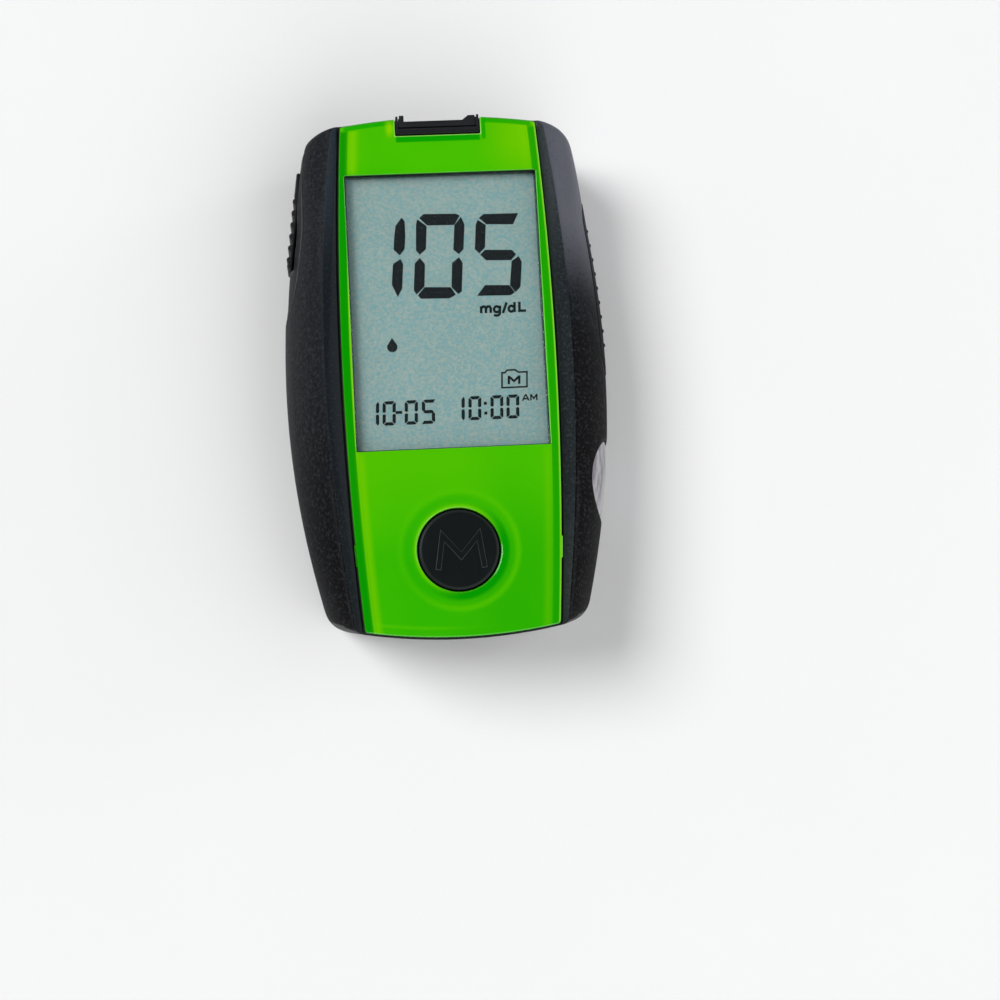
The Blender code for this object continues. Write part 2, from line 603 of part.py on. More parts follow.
face_plate = slab("face_plate", [
    plate_outline(),
    rounded_rect(-WINDOW_HALF[0], WINDOW_HALF[0], WINDOW_Y - WINDOW_HALF[1], WINDOW_Y + WINDOW_HALF[1], 0.3, n=2),
    circle(0, KEY_Y, KEY_R + GAP, 40),
], PLATE_Z[0], PLATE_Z[1], mat=GREEN)
add_bevel(face_plate, 0.2, segments=1, angle=50)
for side in (-1, 1):                                          # small locating tabs in the long edges
    x0, x1 = sorted((side * 17.2, side * (half_plate(TAB_Y) + 0.22)))
    join(face_plate, box(f"plate_tab_{side}", x0, x1, TAB_Y - 2.0, TAB_Y + 2.0, 24.35, 25.7, cutter=True))

display_window = slab("display_window", [rounded_rect(
    -WINDOW_HALF[0] + 0.25, WINDOW_HALF[0] - 0.25, WINDOW_Y - WINDOW_HALF[1] + 0.25, WINDOW_Y + WINDOW_HALF[1] - 0.25,
    0.3, n=2)], 24.4, 25.75, mat=CLEAR)
lcd_glass = box("lcd_glass", -LCD_X, LCD_X, LCD_Y0, LCD_Y1, 21.6, 23.8, mat=LCD)

lcd_holder = box("lcd_holder", -19.0, 19.0, -12.8, 38.6, 17.1, 21.3, mat=WHITE)
cut(lcd_holder, box("holder_hollow", -17.4, 17.4, -11.2, 37.0, 15.0, 20.1, cutter=True))
zebra_connector = box("zebra_connector", -16.0, 16.0, -15.1, -13.3, 17.1, 21.3, mat=GREY_RUBBER)

# ---------------------------------------------------------------- round key
main_button = turned("main_button", [
    (0.0, 25.9), (3.0, 25.88), (5.6, 25.82), (6.7, 25.7), (KEY_R, 25.35), (KEY_R, 22.0), (8.4, 22.0), (8.4, 20.9),
    (5.9, 20.9), (5.9, 24.2), (1.6, 24.2), (1.6, 19.5), (0.0, 19.5)], mat=BLACK_SATIN, steps=32)
main_switch = box("main_switch", -3.1, 3.1, KEY_Y - 3.1, KEY_Y + 3.1, 17.1, 18.5, mat=CHIP, bevel=0.25)
cut(main_switch, cyl("main_switch_hole", 0, KEY_Y, 16.0, 20.0, 1.5, cutter=True, steps=20))
for obj in (main_button,):
    obj.location = (0.0, KEY_Y * MM, 0.0)
main_switch_plunger = cyl("main_switch_plunger", 0, KEY_Y, 17.7, 19.2, 1.15, mat=NYLON, steps=20)

# ---------------------------------------------------------------- board and what sits on it
pcb_outline = [(-14.2, -43.6), (14.2, -43.6), (14.2, -37.6), (20.0, -37.6), (20.0, 37.8), (13.4, 37.8), (13.4, 43.8),
               (-12.0, 43.8), (-12.0, 37.8), (-20.0, 37.8), (-20.0, -37.6), (-14.2, -37.6)]
main_pcb = slab("main_pcb", [pcb_outline], PCB_Z[0], PCB_Z[1], mat=BOARD)
microcontroller = box("microcontroller", -5.0, 5.0, 7.0, 17.0, 17.1, 18.4, mat=CHIP, bevel=0.2)
crystal = box("crystal", 8.0, 11.2, -6.0, 2.0, 17.1, 19.5, mat=STEEL, bevel=0.4)
buzzer = cyl("buzzer", 12.0, 21.0, 11.9, 14.9, 4.6, mat=CHIP, steps=32)
cut(buzzer, cyl("buzzer_hole", 12.0, 21.0, 11.0, 13.0, 0.9, cutter=True, steps=12))

# ---------------------------------------------------------------- strip port
strip_port = box("strip_port", -6.95, 6.95, 45.85, 48.1, 10.7, 25.7, mat=BLACK_SATIN)
cut(strip_port, slab("port_mouth", [[(-6.1, 46.95), (4.6, 46.95), (6.0, 48.0), (6.0, 50.0), (-6.1, 50.0)]],
                     16.2, 30.0, cutter=True))
cut(strip_port, slab("port_lead_in", [[(-4.2, 46.2), (4.2, 46.2), (6.1, 48.3), (6.1, 50.0), (-6.1, 50.0), (-6.1, 48.3)]],
                     11.9, 15.2, cutter=True))
cut(strip_port, box("port_slot", -4.0, 4.0, 44.0, 47.0, 12.7, 14.3, cutter=True))
cut(strip_port, box("port_right_low", 5.0, 9.0, 47.8, 49.0, 16.2, 27.0, cutter=True))

strip_connector = box("strip_connector", -6.5, 6.5, 34.0, 45.4, 11.9, 14.9, mat=NYLON)
cut(strip_connector, box("strip_slot", -3.8, 3.8, 33.0, 46.5, 12.75, 14.15, cutter=True))
contacts = []
for i, x in enumerate((-2.2, 0.0, 2.2), 1):
    cut(strip_connector, box(f"contact_channel_{i}", x - 0.65, x + 0.65, 36.0, 44.0, 13.5, 15.6, cutter=True))
    contacts.append(slab(f"strip_contact_{i}", [[(36.4, 14.55), (36.4, 14.3), (39.6, 14.3), (41.6, 13.95),
                                                 (43.4, 14.35), (43.4, 14.6), (41.6, 14.22), (39.6, 14.55)]],
                         x - 0.3, x + 0.3, mat=GOLD, matrix=STAND))

# ---------------------------------------------------------------- cells and their contacts
for i, side in enumerate((-1, 1), 1):
    x = side * CELL_X
    # the two cells lie head to tail, the positive pip is the narrow end
    flip = side > 0
    y_flat, y_pip = (CELL_Y0, CELL_Y0 + CELL_LEN)
    profile = [(1.9, CELL_LEN + 0.8), (1.9, CELL_LEN), (4.7, CELL_LEN), (CELL_R, CELL_LEN - 0.5), (CELL_R, 0.4),
               (4.9, 0.0)]
    profile = [(0.0, CELL_LEN + 0.8)] + profile + [(0.0, 0.0)]
    if not flip:
        m = Matrix.Translation(Vector((x, y_flat, CELL_Z)) * MM) @ Matrix.Rotation(-math.pi / 2, 4, "X")
    else:
        m = Matrix.Translation(Vector((x, y_pip, CELL_Z)) * MM) @ Matrix.Rotation(math.pi / 2, 4, "X")
    turned(f"battery_{i}", profile, mat=CELL, steps=20, matrix=m)

battery_spring_1 = coil("battery_spring_1", STEEL, (-CELL_X, -41.6, CELL_Z), "Y", 4.6, 3.6, 0.25, 3,
                        end_radius=2.0)
battery_spring_2 = coil("battery_spring_2", STEEL, (CELL_X, 8.6, CELL_Z), "Y", -1.1, 3.6, 0.25, 1.6,
                        end_radius=2.4)
battery_terminal_1 = box("battery_terminal_1", -CELL_X - 3.4, -CELL_X + 3.4, 8.3, 8.8, 3.6, 11.4, mat=STEEL)
battery_terminal_2 = box("battery_terminal_2", CELL_X - 3.4, CELL_X + 3.4, -38.2, -37.7, 3.6, 11.4, mat=STEEL)

# ---------------------------------------------------------------- battery door
battery_door = slab("battery_door", [rounded_rect(-DOOR_X, DOOR_X, DOOR_Y0, DOOR_Y1, 1.2)], 0.0, 1.5, mat=BLACK)
for side in (-1, 1):
    x0, x1 = sorted((side * 9.8, side * 11.3))
    join(battery_door, box(f"tab_root_{side}", x0, x1, -44.0, -42.9, 1.2, 2.8, cutter=True),
         box(f"door_tab_{side}", x0, x1, -44.75, -43.4, 1.9, 2.8, cutter=True))
for side in (-1, 1):                                          # slits that free the latch tongue
    x0, x1 = sorted((side * 4.3, side * 4.8))
    cut(battery_door, box(f"tongue_slit_{side}", x0, x1, 6.4, 14.0, -1.0, 2.4, cutter=True))
join(battery_door, box("latch_hook", -3.6, 3.6, 10.2, 11.4, 1.2, 3.0, cutter=True))
for i in range(4):                                            # grip grooves
    y = 2.2 - 2.0 * i
    cut(battery_door, cyl(f"grip_groove_{i}", y, -0.25, -6.0, 6.0, 0.65, cutter=True, axis="X", steps=12))

# ---------------------------------------------------------------- screws
for i, (x, y) in enumerate(SCREWS, 1):
    screw = turned(f"case_screw_{i}", [(0.0, 18.6), (0.5, 18.2), (0.95, 17.2), (0.95, 4.9), (1.9, 4.9), (1.9, 4.2),
                                       (1.5, 3.6), (0.0, 3.6)], mat=STEEL, steps=14)
    screw.location = (x * MM, y * MM, 0.0)
    for k in range(2):
        cut(screw, box(f"cross_{i}_{k}", *( (x - 1.0, x + 1.0, y - 0.22, y + 0.22) if k == 0 else
                                           (x - 0.22, x + 0.22, y - 1.0, y + 1.0)), 3.0, 4.4, cutter=True))
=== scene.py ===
"""Blood glucose meter: its looks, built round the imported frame.

Constants are millimetres, the scene is metres. +X is the meter's right, +Y runs towards the
test strip port, +Z comes up out of the display, and the back lies on Z = 0.
"""

import math

import bmesh
import bpy
from mathutils import Matrix, Vector
from mathutils.geometry import tessellate_polygon


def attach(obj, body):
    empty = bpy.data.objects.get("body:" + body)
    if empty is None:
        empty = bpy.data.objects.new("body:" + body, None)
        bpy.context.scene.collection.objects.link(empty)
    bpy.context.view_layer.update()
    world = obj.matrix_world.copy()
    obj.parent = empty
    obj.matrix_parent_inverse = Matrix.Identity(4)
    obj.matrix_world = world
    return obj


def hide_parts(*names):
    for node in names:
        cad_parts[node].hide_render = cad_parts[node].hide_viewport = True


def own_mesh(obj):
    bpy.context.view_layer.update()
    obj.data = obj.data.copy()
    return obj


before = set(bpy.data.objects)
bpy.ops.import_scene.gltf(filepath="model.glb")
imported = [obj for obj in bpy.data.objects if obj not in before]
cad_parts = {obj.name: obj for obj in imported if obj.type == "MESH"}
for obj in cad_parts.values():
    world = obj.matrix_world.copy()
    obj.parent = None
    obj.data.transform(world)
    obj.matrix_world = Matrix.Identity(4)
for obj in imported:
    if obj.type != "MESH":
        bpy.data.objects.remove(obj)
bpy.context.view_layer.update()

MM = 0.001
GAP = 0.3
TOP_END, BOTTOM_END = 47.95, 48.1
TOP_CROWN, BOTTOM_CROWN = 1.0, 1.7
SPAN = 45.3
PARTING_Z = 11.8
RIDGE_Z = 24.4
WALL = 2.0
ROOF_Z = 22.3
SEAT_Z = 23.9
PLATE_Z = (24.2, 26.0)
PLATE_TOP, PLATE_BOTTOM = 47.6, 47.75
PLATE_CROWN = 1.4
NOTCH_HALF, NOTCH_Y = 7.8, 44.2
WINDOW_HALF = (17.45, 25.4)
WINDOW_Y = 11.6
TAB_Y = -32.5
KEY_Y, KEY_R = -32.2, 7.25
LCD_X, LCD_Y0, LCD_Y1 = 17.9, -15.3, 38.2
BAY_X, BAY_Y0, BAY_Y1, BAY_TOP = 11.7, -42.4, 9.4, 13.3
DOOR_X, DOOR_Y0, DOOR_Y1 = 13.4, -44.2, 12.6
SCREWS = ((-17.0, 41.7), (17.0, 41.7), (-18.0, -40.6), (18.0, -40.6))
SIDE_KEY_Y, SIDE_KEY_Z = -19.4, 12.5
SIDE_KEY_A, SIDE_KEY_B = 7.5, 8.1
SLIDER_Y, SLIDER_Z = 30.0, 11.5
SLIDER_TRAVEL = 3.5
PANEL_SET_BACK = 0.35
THUMB_U = (-7.2, 11.0)


# ---------------------------------------------------------------- outline curves
def half_plate(y):
    t = y / SPAN
    return 19.38 + 0.22 * t - 1.66 * t * t


def half_ridge(y):
    t = y / SPAN
    return 22.8 + 0.5 * t - 3.25 * t * t - 0.2 * t ** 3


def half_belly(y):
    t = y / SPAN
    return 29.95 + 0.28 * t - 6.1 * t * t + 0.62 * t ** 3 + 0.45 * t ** 4


def belly_slope(y):
    return (half_belly(y + 0.05) - half_belly(y - 0.05)) / 0.1


# height, share of the way from belly to ridge, inset in X, inset in Y at the top and the bottom end,
# corner size at the top and the bottom end
LEVELS = (
    (0.0, 0.0, 2.6, 2.8, 2.7, 3.8, 3.8),
    (0.7, 0.0, 1.35, 1.6, 1.95, 3.8, 3.8),
    (2.2, 0.0, 0.5, 0.85, 1.5, 3.6, 3.6),
    (5.5, 0.0, 0.12, 0.5, 1.3, 3.3, 3.3),
    (10.0, 0.0, 0.0, 0.4, 1.05, 3.1, 3.1),
    (13.0, 0.03, 0.0, 0.35, 0.85, 3.0, 3.0),
    (16.0, 0.14, 0.0, 0.28, 0.62, 2.8, 2.8),
    (18.5, 0.30, 0.0, 0.2, 0.42, 2.6, 2.6),
    (20.8, 0.50, 0.0, 0.1, 0.25, 2.3, 2.4),
    (22.8, 0.74, 0.0, 0.03, 0.08, 1.9, 2.0),
    (24.0, 0.93, 0.0, 0.05, 0.0, 1.4, 1.6),
    (24.4, 1.0, 0.15, 0.2, 0.15, 1.2, 1.3),
)


def smooth_levels():
    """Slopes of a curve without overshoot through the levels, one list per column."""
    slopes = []
    for col in range(1, 7):
        steps = [(b[col] - a[col]) / (b[0] - a[0]) for a, b in zip(LEVELS, LEVELS[1:])]
        out = [steps[0]]
        for one, two in zip(steps, steps[1:]):
            out.append(0.0 if one * two <= 0 else 2 * one * two / (one + two))
        out.append(steps[-1])
        slopes.append(out)
    return slopes


SLOPES = smooth_levels()


def level_at(z):
    z = min(max(z, LEVELS[0][0]), LEVELS[-1][0])
    i = 0
    while i < len(LEVELS) - 2 and LEVELS[i + 1][0] < z:
        i += 1
    low, high = LEVELS[i], LEVELS[i + 1]
    h = high[0] - low[0]
    k = (z - low[0]) / h
    h00, h10 = 2 * k ** 3 - 3 * k * k + 1, k ** 3 - 2 * k * k + k
    h01, h11 = -2 * k ** 3 + 3 * k * k, k ** 3 - k * k
    out = [z]
    for col in range(1, 7):
        m = SLOPES[col - 1]
        out.append(h00 * low[col] + h10 * h * m[i] + h01 * high[col] + h11 * h * m[i + 1])
    return out


def share(f, y):
    """Share of the way from belly to ridge at y: towards the port end the wall stays upright for longer."""
    s = min(max((y - 28.0) / 15.0, 0.0), 1.0)
    return max(f, 0.0) ** (1.0 + 0.9 * s * s * (3.0 - 2.0 * s))


def ring(width, top, bottom, corner_top, corner_bottom, sides=56, bends=9, ends=28):
    """One closed plan outline, anticlockwise: two long sides, two crowned ends, four rounded corners."""
    def quarter(end, sign, corner):
        x = width(sign * 46.0)
        for _ in range(6):
            y = end(x)
            x = width(sign * y)
        on_side = Vector((width(sign * (y - corner)), sign * (y - corner)))
        on_end = Vector((x - corner, sign * end(x - corner)))
        return on_side, Vector((x, sign * y)), on_end

    side_t, peak_t, end_t = quarter(top, 1.0, corner_top)
    side_b, peak_b, end_b = quarter(bottom, -1.0, corner_bottom)
    right = []
    for i in range(1, ends // 2 + 1):
        x = end_b.x * i / (ends // 2)
        right.append(Vector((x, -bottom(x))))
    for i in range(1, bends):
        k = i / bends
        right.append((1 - k) ** 2 * end_b + 2 * k * (1 - k) * peak_b + k * k * side_b)
    for i in range(sides + 1):
        y = side_b.y + (side_t.y - side_b.y) * i / sides
        right.append(Vector((width(y), y)))
    for i in range(1, bends):
        k = i / bends
        right.append((1 - k) ** 2 * side_t + 2 * k * (1 - k) * peak_t + k * k * end_t)
    for i in range(ends // 2, 0, -1):
        x = end_t.x * i / (ends // 2)
        right.append(Vector((x, top(x))))
    left = [Vector((-p.x, p.y)) for p in reversed(right)]
    return [Vector((0.0, -bottom(0.0)))] + right + [Vector((0.0, top(0.0)))] + left


def shell_ring(level, inset=0.0, **fine):
    _, f, dx, dy_top, dy_bottom, corner_top, corner_bottom = level
    def width(y):
        k = share(f, y)
        return (1 - k) * half_belly(y) + k * half_ridge(y) - dx - inset
    def top(x):
        return TOP_END - dy_top - inset - TOP_CROWN * (x / 18.0) ** 2
    def bottom(x):
        return BOTTOM_END - dy_bottom - inset - BOTTOM_CROWN * (x / 18.0) ** 2
    return ring(width, top, bottom, max(corner_top - 0.5 * inset, 0.8), max(corner_bottom - 0.5 * inset, 0.8), **fine)


# ---------------------------------------------------------------- camera
YAW, PITCH, ROLL = (math.radians(a) for a in (4.05, -7.18, 3.11))
turn = (Matrix.Rotation(ROLL, 3, "Z") @ Matrix.Rotation(PITCH, 3, "X") @ Matrix.Rotation(YAW, 3, "Y")).transposed()
eye = Vector((0.0, 0.0, 26.0)) + turn @ Vector((9.00, -23.08, 394.2))
camera_data = bpy.data.cameras.new("camera")
camera_data.sensor_width = 36.0
camera_data.lens = 78.66
camera_data.clip_start, camera_data.clip_end = 0.01, 20.0
camera = bpy.data.objects.new("camera", camera_data)
bpy.context.scene.collection.objects.link(camera)
camera.matrix_world = Matrix.Translation(eye * MM) @ turn.to_4x4()
bpy.context.scene.camera = camera


# ---------------------------------------------------------------- material graphs
class Look:
    """A Principled material with short calls for its nodes. Positions are the piece's own, in millimetres."""

    def __init__(self, name, roughness=0.5, metallic=0.0, ior=1.5, specular=0.5):
        self.mat = bpy.data.materials.new(name)
        self.mat.use_nodes = True
        self.tree = self.mat.node_tree
        self.bsdf = self.tree.nodes["Principled BSDF"]
        self.bsdf.inputs["Roughness"].default_value = roughness
        self.bsdf.inputs["Metallic"].default_value = metallic
        self.bsdf.inputs["IOR"].default_value = ior
        self.bsdf.inputs["Specular IOR Level"].default_value = specular
        coords = self.tree.nodes.new("ShaderNodeTexCoord")
        scaled = self.tree.nodes.new("ShaderNodeVectorMath")
        scaled.operation = "SCALE"
        scaled.inputs["Scale"].default_value = 1000.0
        self.tree.links.new(coords.outputs["Object"], scaled.inputs[0])
        self.at = scaled.outputs[0]
        split = self.tree.nodes.new("ShaderNodeSeparateXYZ")
        self.tree.links.new(self.at, split.inputs[0])
        self.x, self.y, self.z = split.outputs

    def put(self, socket, value):
        if isinstance(value, bpy.types.NodeSocket):
            self.tree.links.new(value, socket)
        elif isinstance(value, tuple) and len(value) == 3 and socket.type == "RGBA":
            socket.default_value = (*value, 1.0)
        else:
            socket.default_value = value

    def set(self, **sockets):
        for key, value in sockets.items():
            self.put(self.bsdf.inputs[key.replace("_", " ")], value)
        return self

    def math(self, operation, *values, clamp=False):
        node = self.tree.nodes.new("ShaderNodeMath")
        node.operation = operation
        node.use_clamp = clamp
        for socket, value in zip(node.inputs, values):
            self.put(socket, value)
        return node.outputs[0]

    def add(self, a, b):
        return self.math("ADD", a, b)

    def sub(self, a, b):
        return self.math("SUBTRACT", a, b)

    def mul(self, a, b):
        return self.math("MULTIPLY", a, b)

    def ramp(self, value, low, high):
        """0 below low, 1 above high, smooth between; low may be the larger one."""
        node = self.tree.nodes.new("ShaderNodeMapRange")
        node.interpolation_type = "SMOOTHSTEP"
        flip = low > high
        self.put(node.inputs["Value"], value)
        node.inputs["From Min"].default_value = min(low, high)
        node.inputs["From Max"].default_value = max(low, high)
        node.inputs["To Min"].default_value = 1.0 if flip else 0.0
        node.inputs["To Max"].default_value = 0.0 if flip else 1.0
        return node.outputs["Result"]

    def band(self, value, low, high, soft):
        """1 between low and high, falling to 0 over soft on either side."""
        return self.mul(self.ramp(value, low - soft, low + soft), self.ramp(value, high + soft, high - soft))

    def mix(self, factor, a, b, blend="MIX"):
        node = self.tree.nodes.new("ShaderNodeMix")
        node.data_type = "RGBA"
        node.blend_type = blend
        self.put(node.inputs[0], factor)
        self.put(node.inputs[6], a)
        self.put(node.inputs[7], b)
        return node.outputs[2]

    def noise(self, size, detail=2.0, rough=0.5, at=None, stretch=None):
        """Noise whose features are about size millimetres across."""
        node = self.tree.nodes.new("ShaderNodeTexNoise")
        node.inputs["Scale"].default_value = 1.0 / size
        node.inputs["Detail"].default_value = detail
        node.inputs["Roughness"].default_value = rough
        source = self.at if at is None else at
        if stretch is not None:
            scaled = self.tree.nodes.new("ShaderNodeVectorMath")
            scaled.operation = "MULTIPLY"
            scaled.inputs[1].default_value = stretch
            self.tree.links.new(source, scaled.inputs[0])
            source = scaled.outputs[0]
        self.tree.links.new(source, node.inputs["Vector"])
        return node.outputs["Fac"]

    def curve(self, value, points, across=50.0, high=25.0):
        """Height read from a curve through points, both in millimetres."""
        node = self.tree.nodes.new("ShaderNodeFloatCurve")
        line = node.mapping.curves[0]
        line.points[0].location = (0.0, points[0][1] / high)
        line.points[1].location = (1.0, points[-1][1] / high)
        for a, b in points:
            line.points.new(a / across, b / high)
        node.mapping.update()
        self.put(node.inputs["Value"], self.mul(value, 1.0 / across))
        return self.mul(node.outputs[0], high)

    def cells(self, size):
        node = self.tree.nodes.new("ShaderNodeTexVoronoi")
        node.inputs["Scale"].default_value = 1.0 / size
        self.tree.links.new(self.at, node.inputs["Vector"])
        return node.outputs["Distance"]

    def edge_wear_and_highlight(self):
        node = self.tree.nodes.new("ShaderNodeAttribute")
        node.attribute_name = "edge_wear_and_highlight"
        return node.outputs["Fac"]

    def bump(self, height, depth, strength=1.0):
        """Bump of the given depth in millimetres."""
        node = self.tree.nodes.new("ShaderNodeBump")
        node.inputs["Strength"].default_value = strength
        node.inputs["Distance"].default_value = depth * MM
        self.put(node.inputs["Height"], height)
        self.put(self.bsdf.inputs["Normal"], node.outputs["Normal"])
        return self


def moulded(name, dark, light, roughness, grain, depth, worn_and_highlight=(0.05, 0.053, 0.058), specular=0.4, edge_wear_and_highlight=0.6):
    """Moulded plastic: fine even grain, faint cloudiness, edges polished by handling."""
    look = Look(name, specular=specular)
    cloud = look.noise(9.0, 3.0, 0.6)
    fine = look.noise(grain * 1.7, 2.0, 0.7)
    colour = look.mix(look.ramp(cloud, 0.3, 0.7), dark, light)
    speck = look.ramp(fine, 0.58, 0.78)
    colour = look.mix(look.mul(speck, 0.35), colour, worn_and_highlight)
    edge = look.mul(look.edge_wear_and_highlight(), edge_wear_and_highlight)
    colour = look.mix(edge, colour, worn_and_highlight)
    rough = look.add(roughness - 0.06, look.mul(cloud, 0.12))
    rough = look.sub(rough, look.mul(edge, 0.14))
    pits = look.noise(grain, 3.0, 0.65)
    look.set(Base_Color=colour, Roughness=rough)
    return look.bump(pits, depth)


PANEL_TOP = [(13.3, 11.9), (13.6, 13.2), (15.2, 15.6), (18.0, 17.6), (22.0, 18.6), (30.0, 19.2), (38.0, 19.4), (46.0, 19.4)]


def shell_plastic(name, gloss=1.0):
    """The case's moulding: dull, with painted shade towards the bottom end and low on the right wall, a painted shade
    line above the side panel's seam, and a greyer, glossier painted sheen high on the right wall.
    """
    look = Look(name)
    cloud = look.noise(9.0, 3.0, 0.6)
    fine = look.noise(0.62, 2.0, 0.7)
    body = look.mix(look.ramp(cloud, 0.3, 0.7), (0.0088, 0.0108, 0.0134), (0.0112, 0.0136, 0.0166))
    # painted shade: darker towards the bottom end
    body = look.mix(look.ramp(look.y, 6.0, -40.0), body, (0.0046, 0.0044, 0.0050))
    # painted sheen: greyer and paler high on the right wall, towards the top end, with more gloss there
    painted_sheen = look.mul(look.ramp(look.x, 8.0, 16.0), look.ramp(look.y, 12.0, 30.0))
    body = look.mix(look.mul(painted_sheen, look.add(0.75, look.mul(cloud, 0.3))), body, (0.084, 0.088, 0.116))
    # painted shade: darker low on the right wall, below its middle
    lower_right = look.mul(look.ramp(look.x, 8.0, 16.0), look.ramp(look.y, 14.0, 4.0))
    body = look.mix(look.mul(lower_right, 0.9), body, (0.0050, 0.0040, 0.0042))
    coarse = look.sub(1.0, look.mul(painted_sheen, 0.7))
    body = look.mix(look.mul(look.mul(look.ramp(fine, 0.50, 0.68), 0.62), coarse), body, (0.028, 0.032, 0.038))
    body = look.mix(look.mul(look.mul(look.ramp(fine, 0.48, 0.32), 0.75), coarse), body, (0.0030, 0.0036, 0.0042))
    # painted shade: a darker line on the shell just above the side panel's seam
    over = look.sub(look.z, look.curve(look.y, PANEL_TOP))
    seam = look.mul(look.mul(look.band(over, 0.20, 0.85, 0.12), look.ramp(look.x, -8.0, -12.0)), look.ramp(look.y, 12.8, 13.6))
    body = look.mix(look.mul(seam, 0.85), body, (0.0026, 0.0028, 0.0032))
    edge = look.mul(look.edge_wear_and_highlight(), 0.6)
    body = look.mix(edge, body, (0.050, 0.053, 0.058))
    left = look.mul(look.ramp(look.x, 0.0, -4.0), look.ramp(look.y, -34.0, 8.0))
    shine = look.add(0.022, look.add(look.mul(left, 0.050 * gloss), look.mul(painted_sheen, 0.24 * gloss)))
    rough = look.sub(look.add(0.46, look.mul(cloud, 0.12)), look.mul(edge, 0.12))
    look.set(Base_Color=body, Roughness=rough, Specular_IOR_Level=shine)
    return look.bump(look.noise(0.32, 3.0, 0.65), 0.028)


def strip_plastic():
    """The flat strips beside the fascia, with painted light and reflection: paler towards both ends and most towards
    the top end, the right strip paler, the left one darker and bluer; the specks are finer on the left and coarser on
    the right.
    """
    look = Look("strip_texture", specular=0.10)
    cloud = look.noise(7.0, 3.0, 0.6)
    # painted light: the strips' tone changes along their length and from the left strip to the right one
    up = look.ramp(look.y, 16.0, 40.0)
    down = look.ramp(look.y, -18.0, -40.0)
    left = look.mix(up, (0.0048, 0.0082, 0.0120), (0.0230, 0.0325, 0.0460))
    left = look.mix(down, left, (0.0070, 0.0122, 0.0134))
    right = look.mix(up, (0.0138, 0.0190, 0.0228), (0.0460, 0.0530, 0.0620))
    right = look.mix(down, right, (0.0270, 0.0380, 0.0384))
    side = look.ramp(look.x, -2.0, 2.0)
    body = look.mix(side, left, right)
    body = look.mix(look.mul(cloud, 0.25), body, (0.010, 0.012, 0.014))
    fine = look.noise(0.50, 2.0, 0.7)
    speck = look.mul(look.ramp(fine, 0.50, 0.74), look.add(0.30, look.mul(side, 0.35)))
    body = look.mix(speck, body, (0.048, 0.052, 0.056))
    dip = look.mul(look.ramp(fine, 0.48, 0.28), look.add(0.30, look.mul(side, 0.25)))
    body = look.mix(dip, body, (0.0050, 0.0060, 0.0075))
    body = look.mix(look.mul(look.edge_wear_and_highlight(), 0.45), body, (0.046, 0.052, 0.060))
    look.set(Base_Color=body, Roughness=look.add(0.44, look.mul(cloud, 0.10)))
    return look.bump(look.noise(0.30, 3.0, 0.65), 0.018)


SHELL = shell_plastic("shell_texture")
STRIP = strip_plastic()
def panel_plastic():
    """The side panel's moulding, with a painted highlight line along its upper edge."""
    look = Look("panel_texture")
    cloud = look.noise(9.0, 3.0, 0.6)
    fine = look.noise(0.62, 2.0, 0.7)
    body = look.mix(look.ramp(cloud, 0.3, 0.7), (0.0088, 0.0108, 0.0134), (0.0112, 0.0136, 0.0166))
    body = look.mix(look.mul(look.ramp(fine, 0.50, 0.70), 0.5), body, (0.026, 0.030, 0.035))
    body = look.mix(look.mul(look.ramp(fine, 0.48, 0.32), 0.65), body, (0.0034, 0.0040, 0.0046))
    over = look.sub(look.z, look.curve(look.y, PANEL_TOP))
    # painted highlight: a paler, glossier line along the panel's upper edge
    painted_edge_highlight = look.mul(look.ramp(over, -0.95, -0.45), look.add(0.62, look.mul(look.noise(2.5, 3.0, 0.6), 0.45)))
    body = look.mix(painted_edge_highlight, body, (0.058, 0.063, 0.070))
    body = look.mix(look.mul(look.edge_wear_and_highlight(), 0.7), body, (0.070, 0.075, 0.082))
    look.set(Base_Color=body, Roughness=look.add(0.44, look.mul(cloud, 0.12)), Specular_IOR_Level=look.add(0.06, look.mul(painted_edge_highlight, 0.06)))
    return look.bump(look.noise(0.32, 3.0, 0.65), 0.026)


PANEL = panel_plastic()
DOOR = moulded("door_texture", (0.0100, 0.0115, 0.0132), (0.0135, 0.0152, 0.0172), 0.50, 0.34, 0.026, specular=0.16)
SLIDE_BLACK = moulded("slide_texture", (0.0080, 0.0092, 0.0105), (0.0112, 0.0128, 0.0145), 0.48, 0.28, 0.020, specular=0.08)
PORT = moulded("port_texture", (0.0075, 0.0088, 0.0108), (0.0110, 0.0122, 0.0145), 0.44, 0.24, 0.010,
               worn_and_highlight=(0.030, 0.032, 0.035), specular=0.10, edge_wear_and_highlight=0.5)
INNER = moulded("shell_inside", (0.010, 0.011, 0.012), (0.014, 0.015, 0.016), 0.58, 0.40, 0.012, edge_wear_and_highlight=0.2)
PRINT = moulded("window_border", (0.0022, 0.0060, 0.0042), (0.0040, 0.0095, 0.0066), 0.55, 0.5, 0.002,
                worn_and_highlight=(0.004, 0.009, 0.007), specular=0.05, edge_wear_and_highlight=0.1)


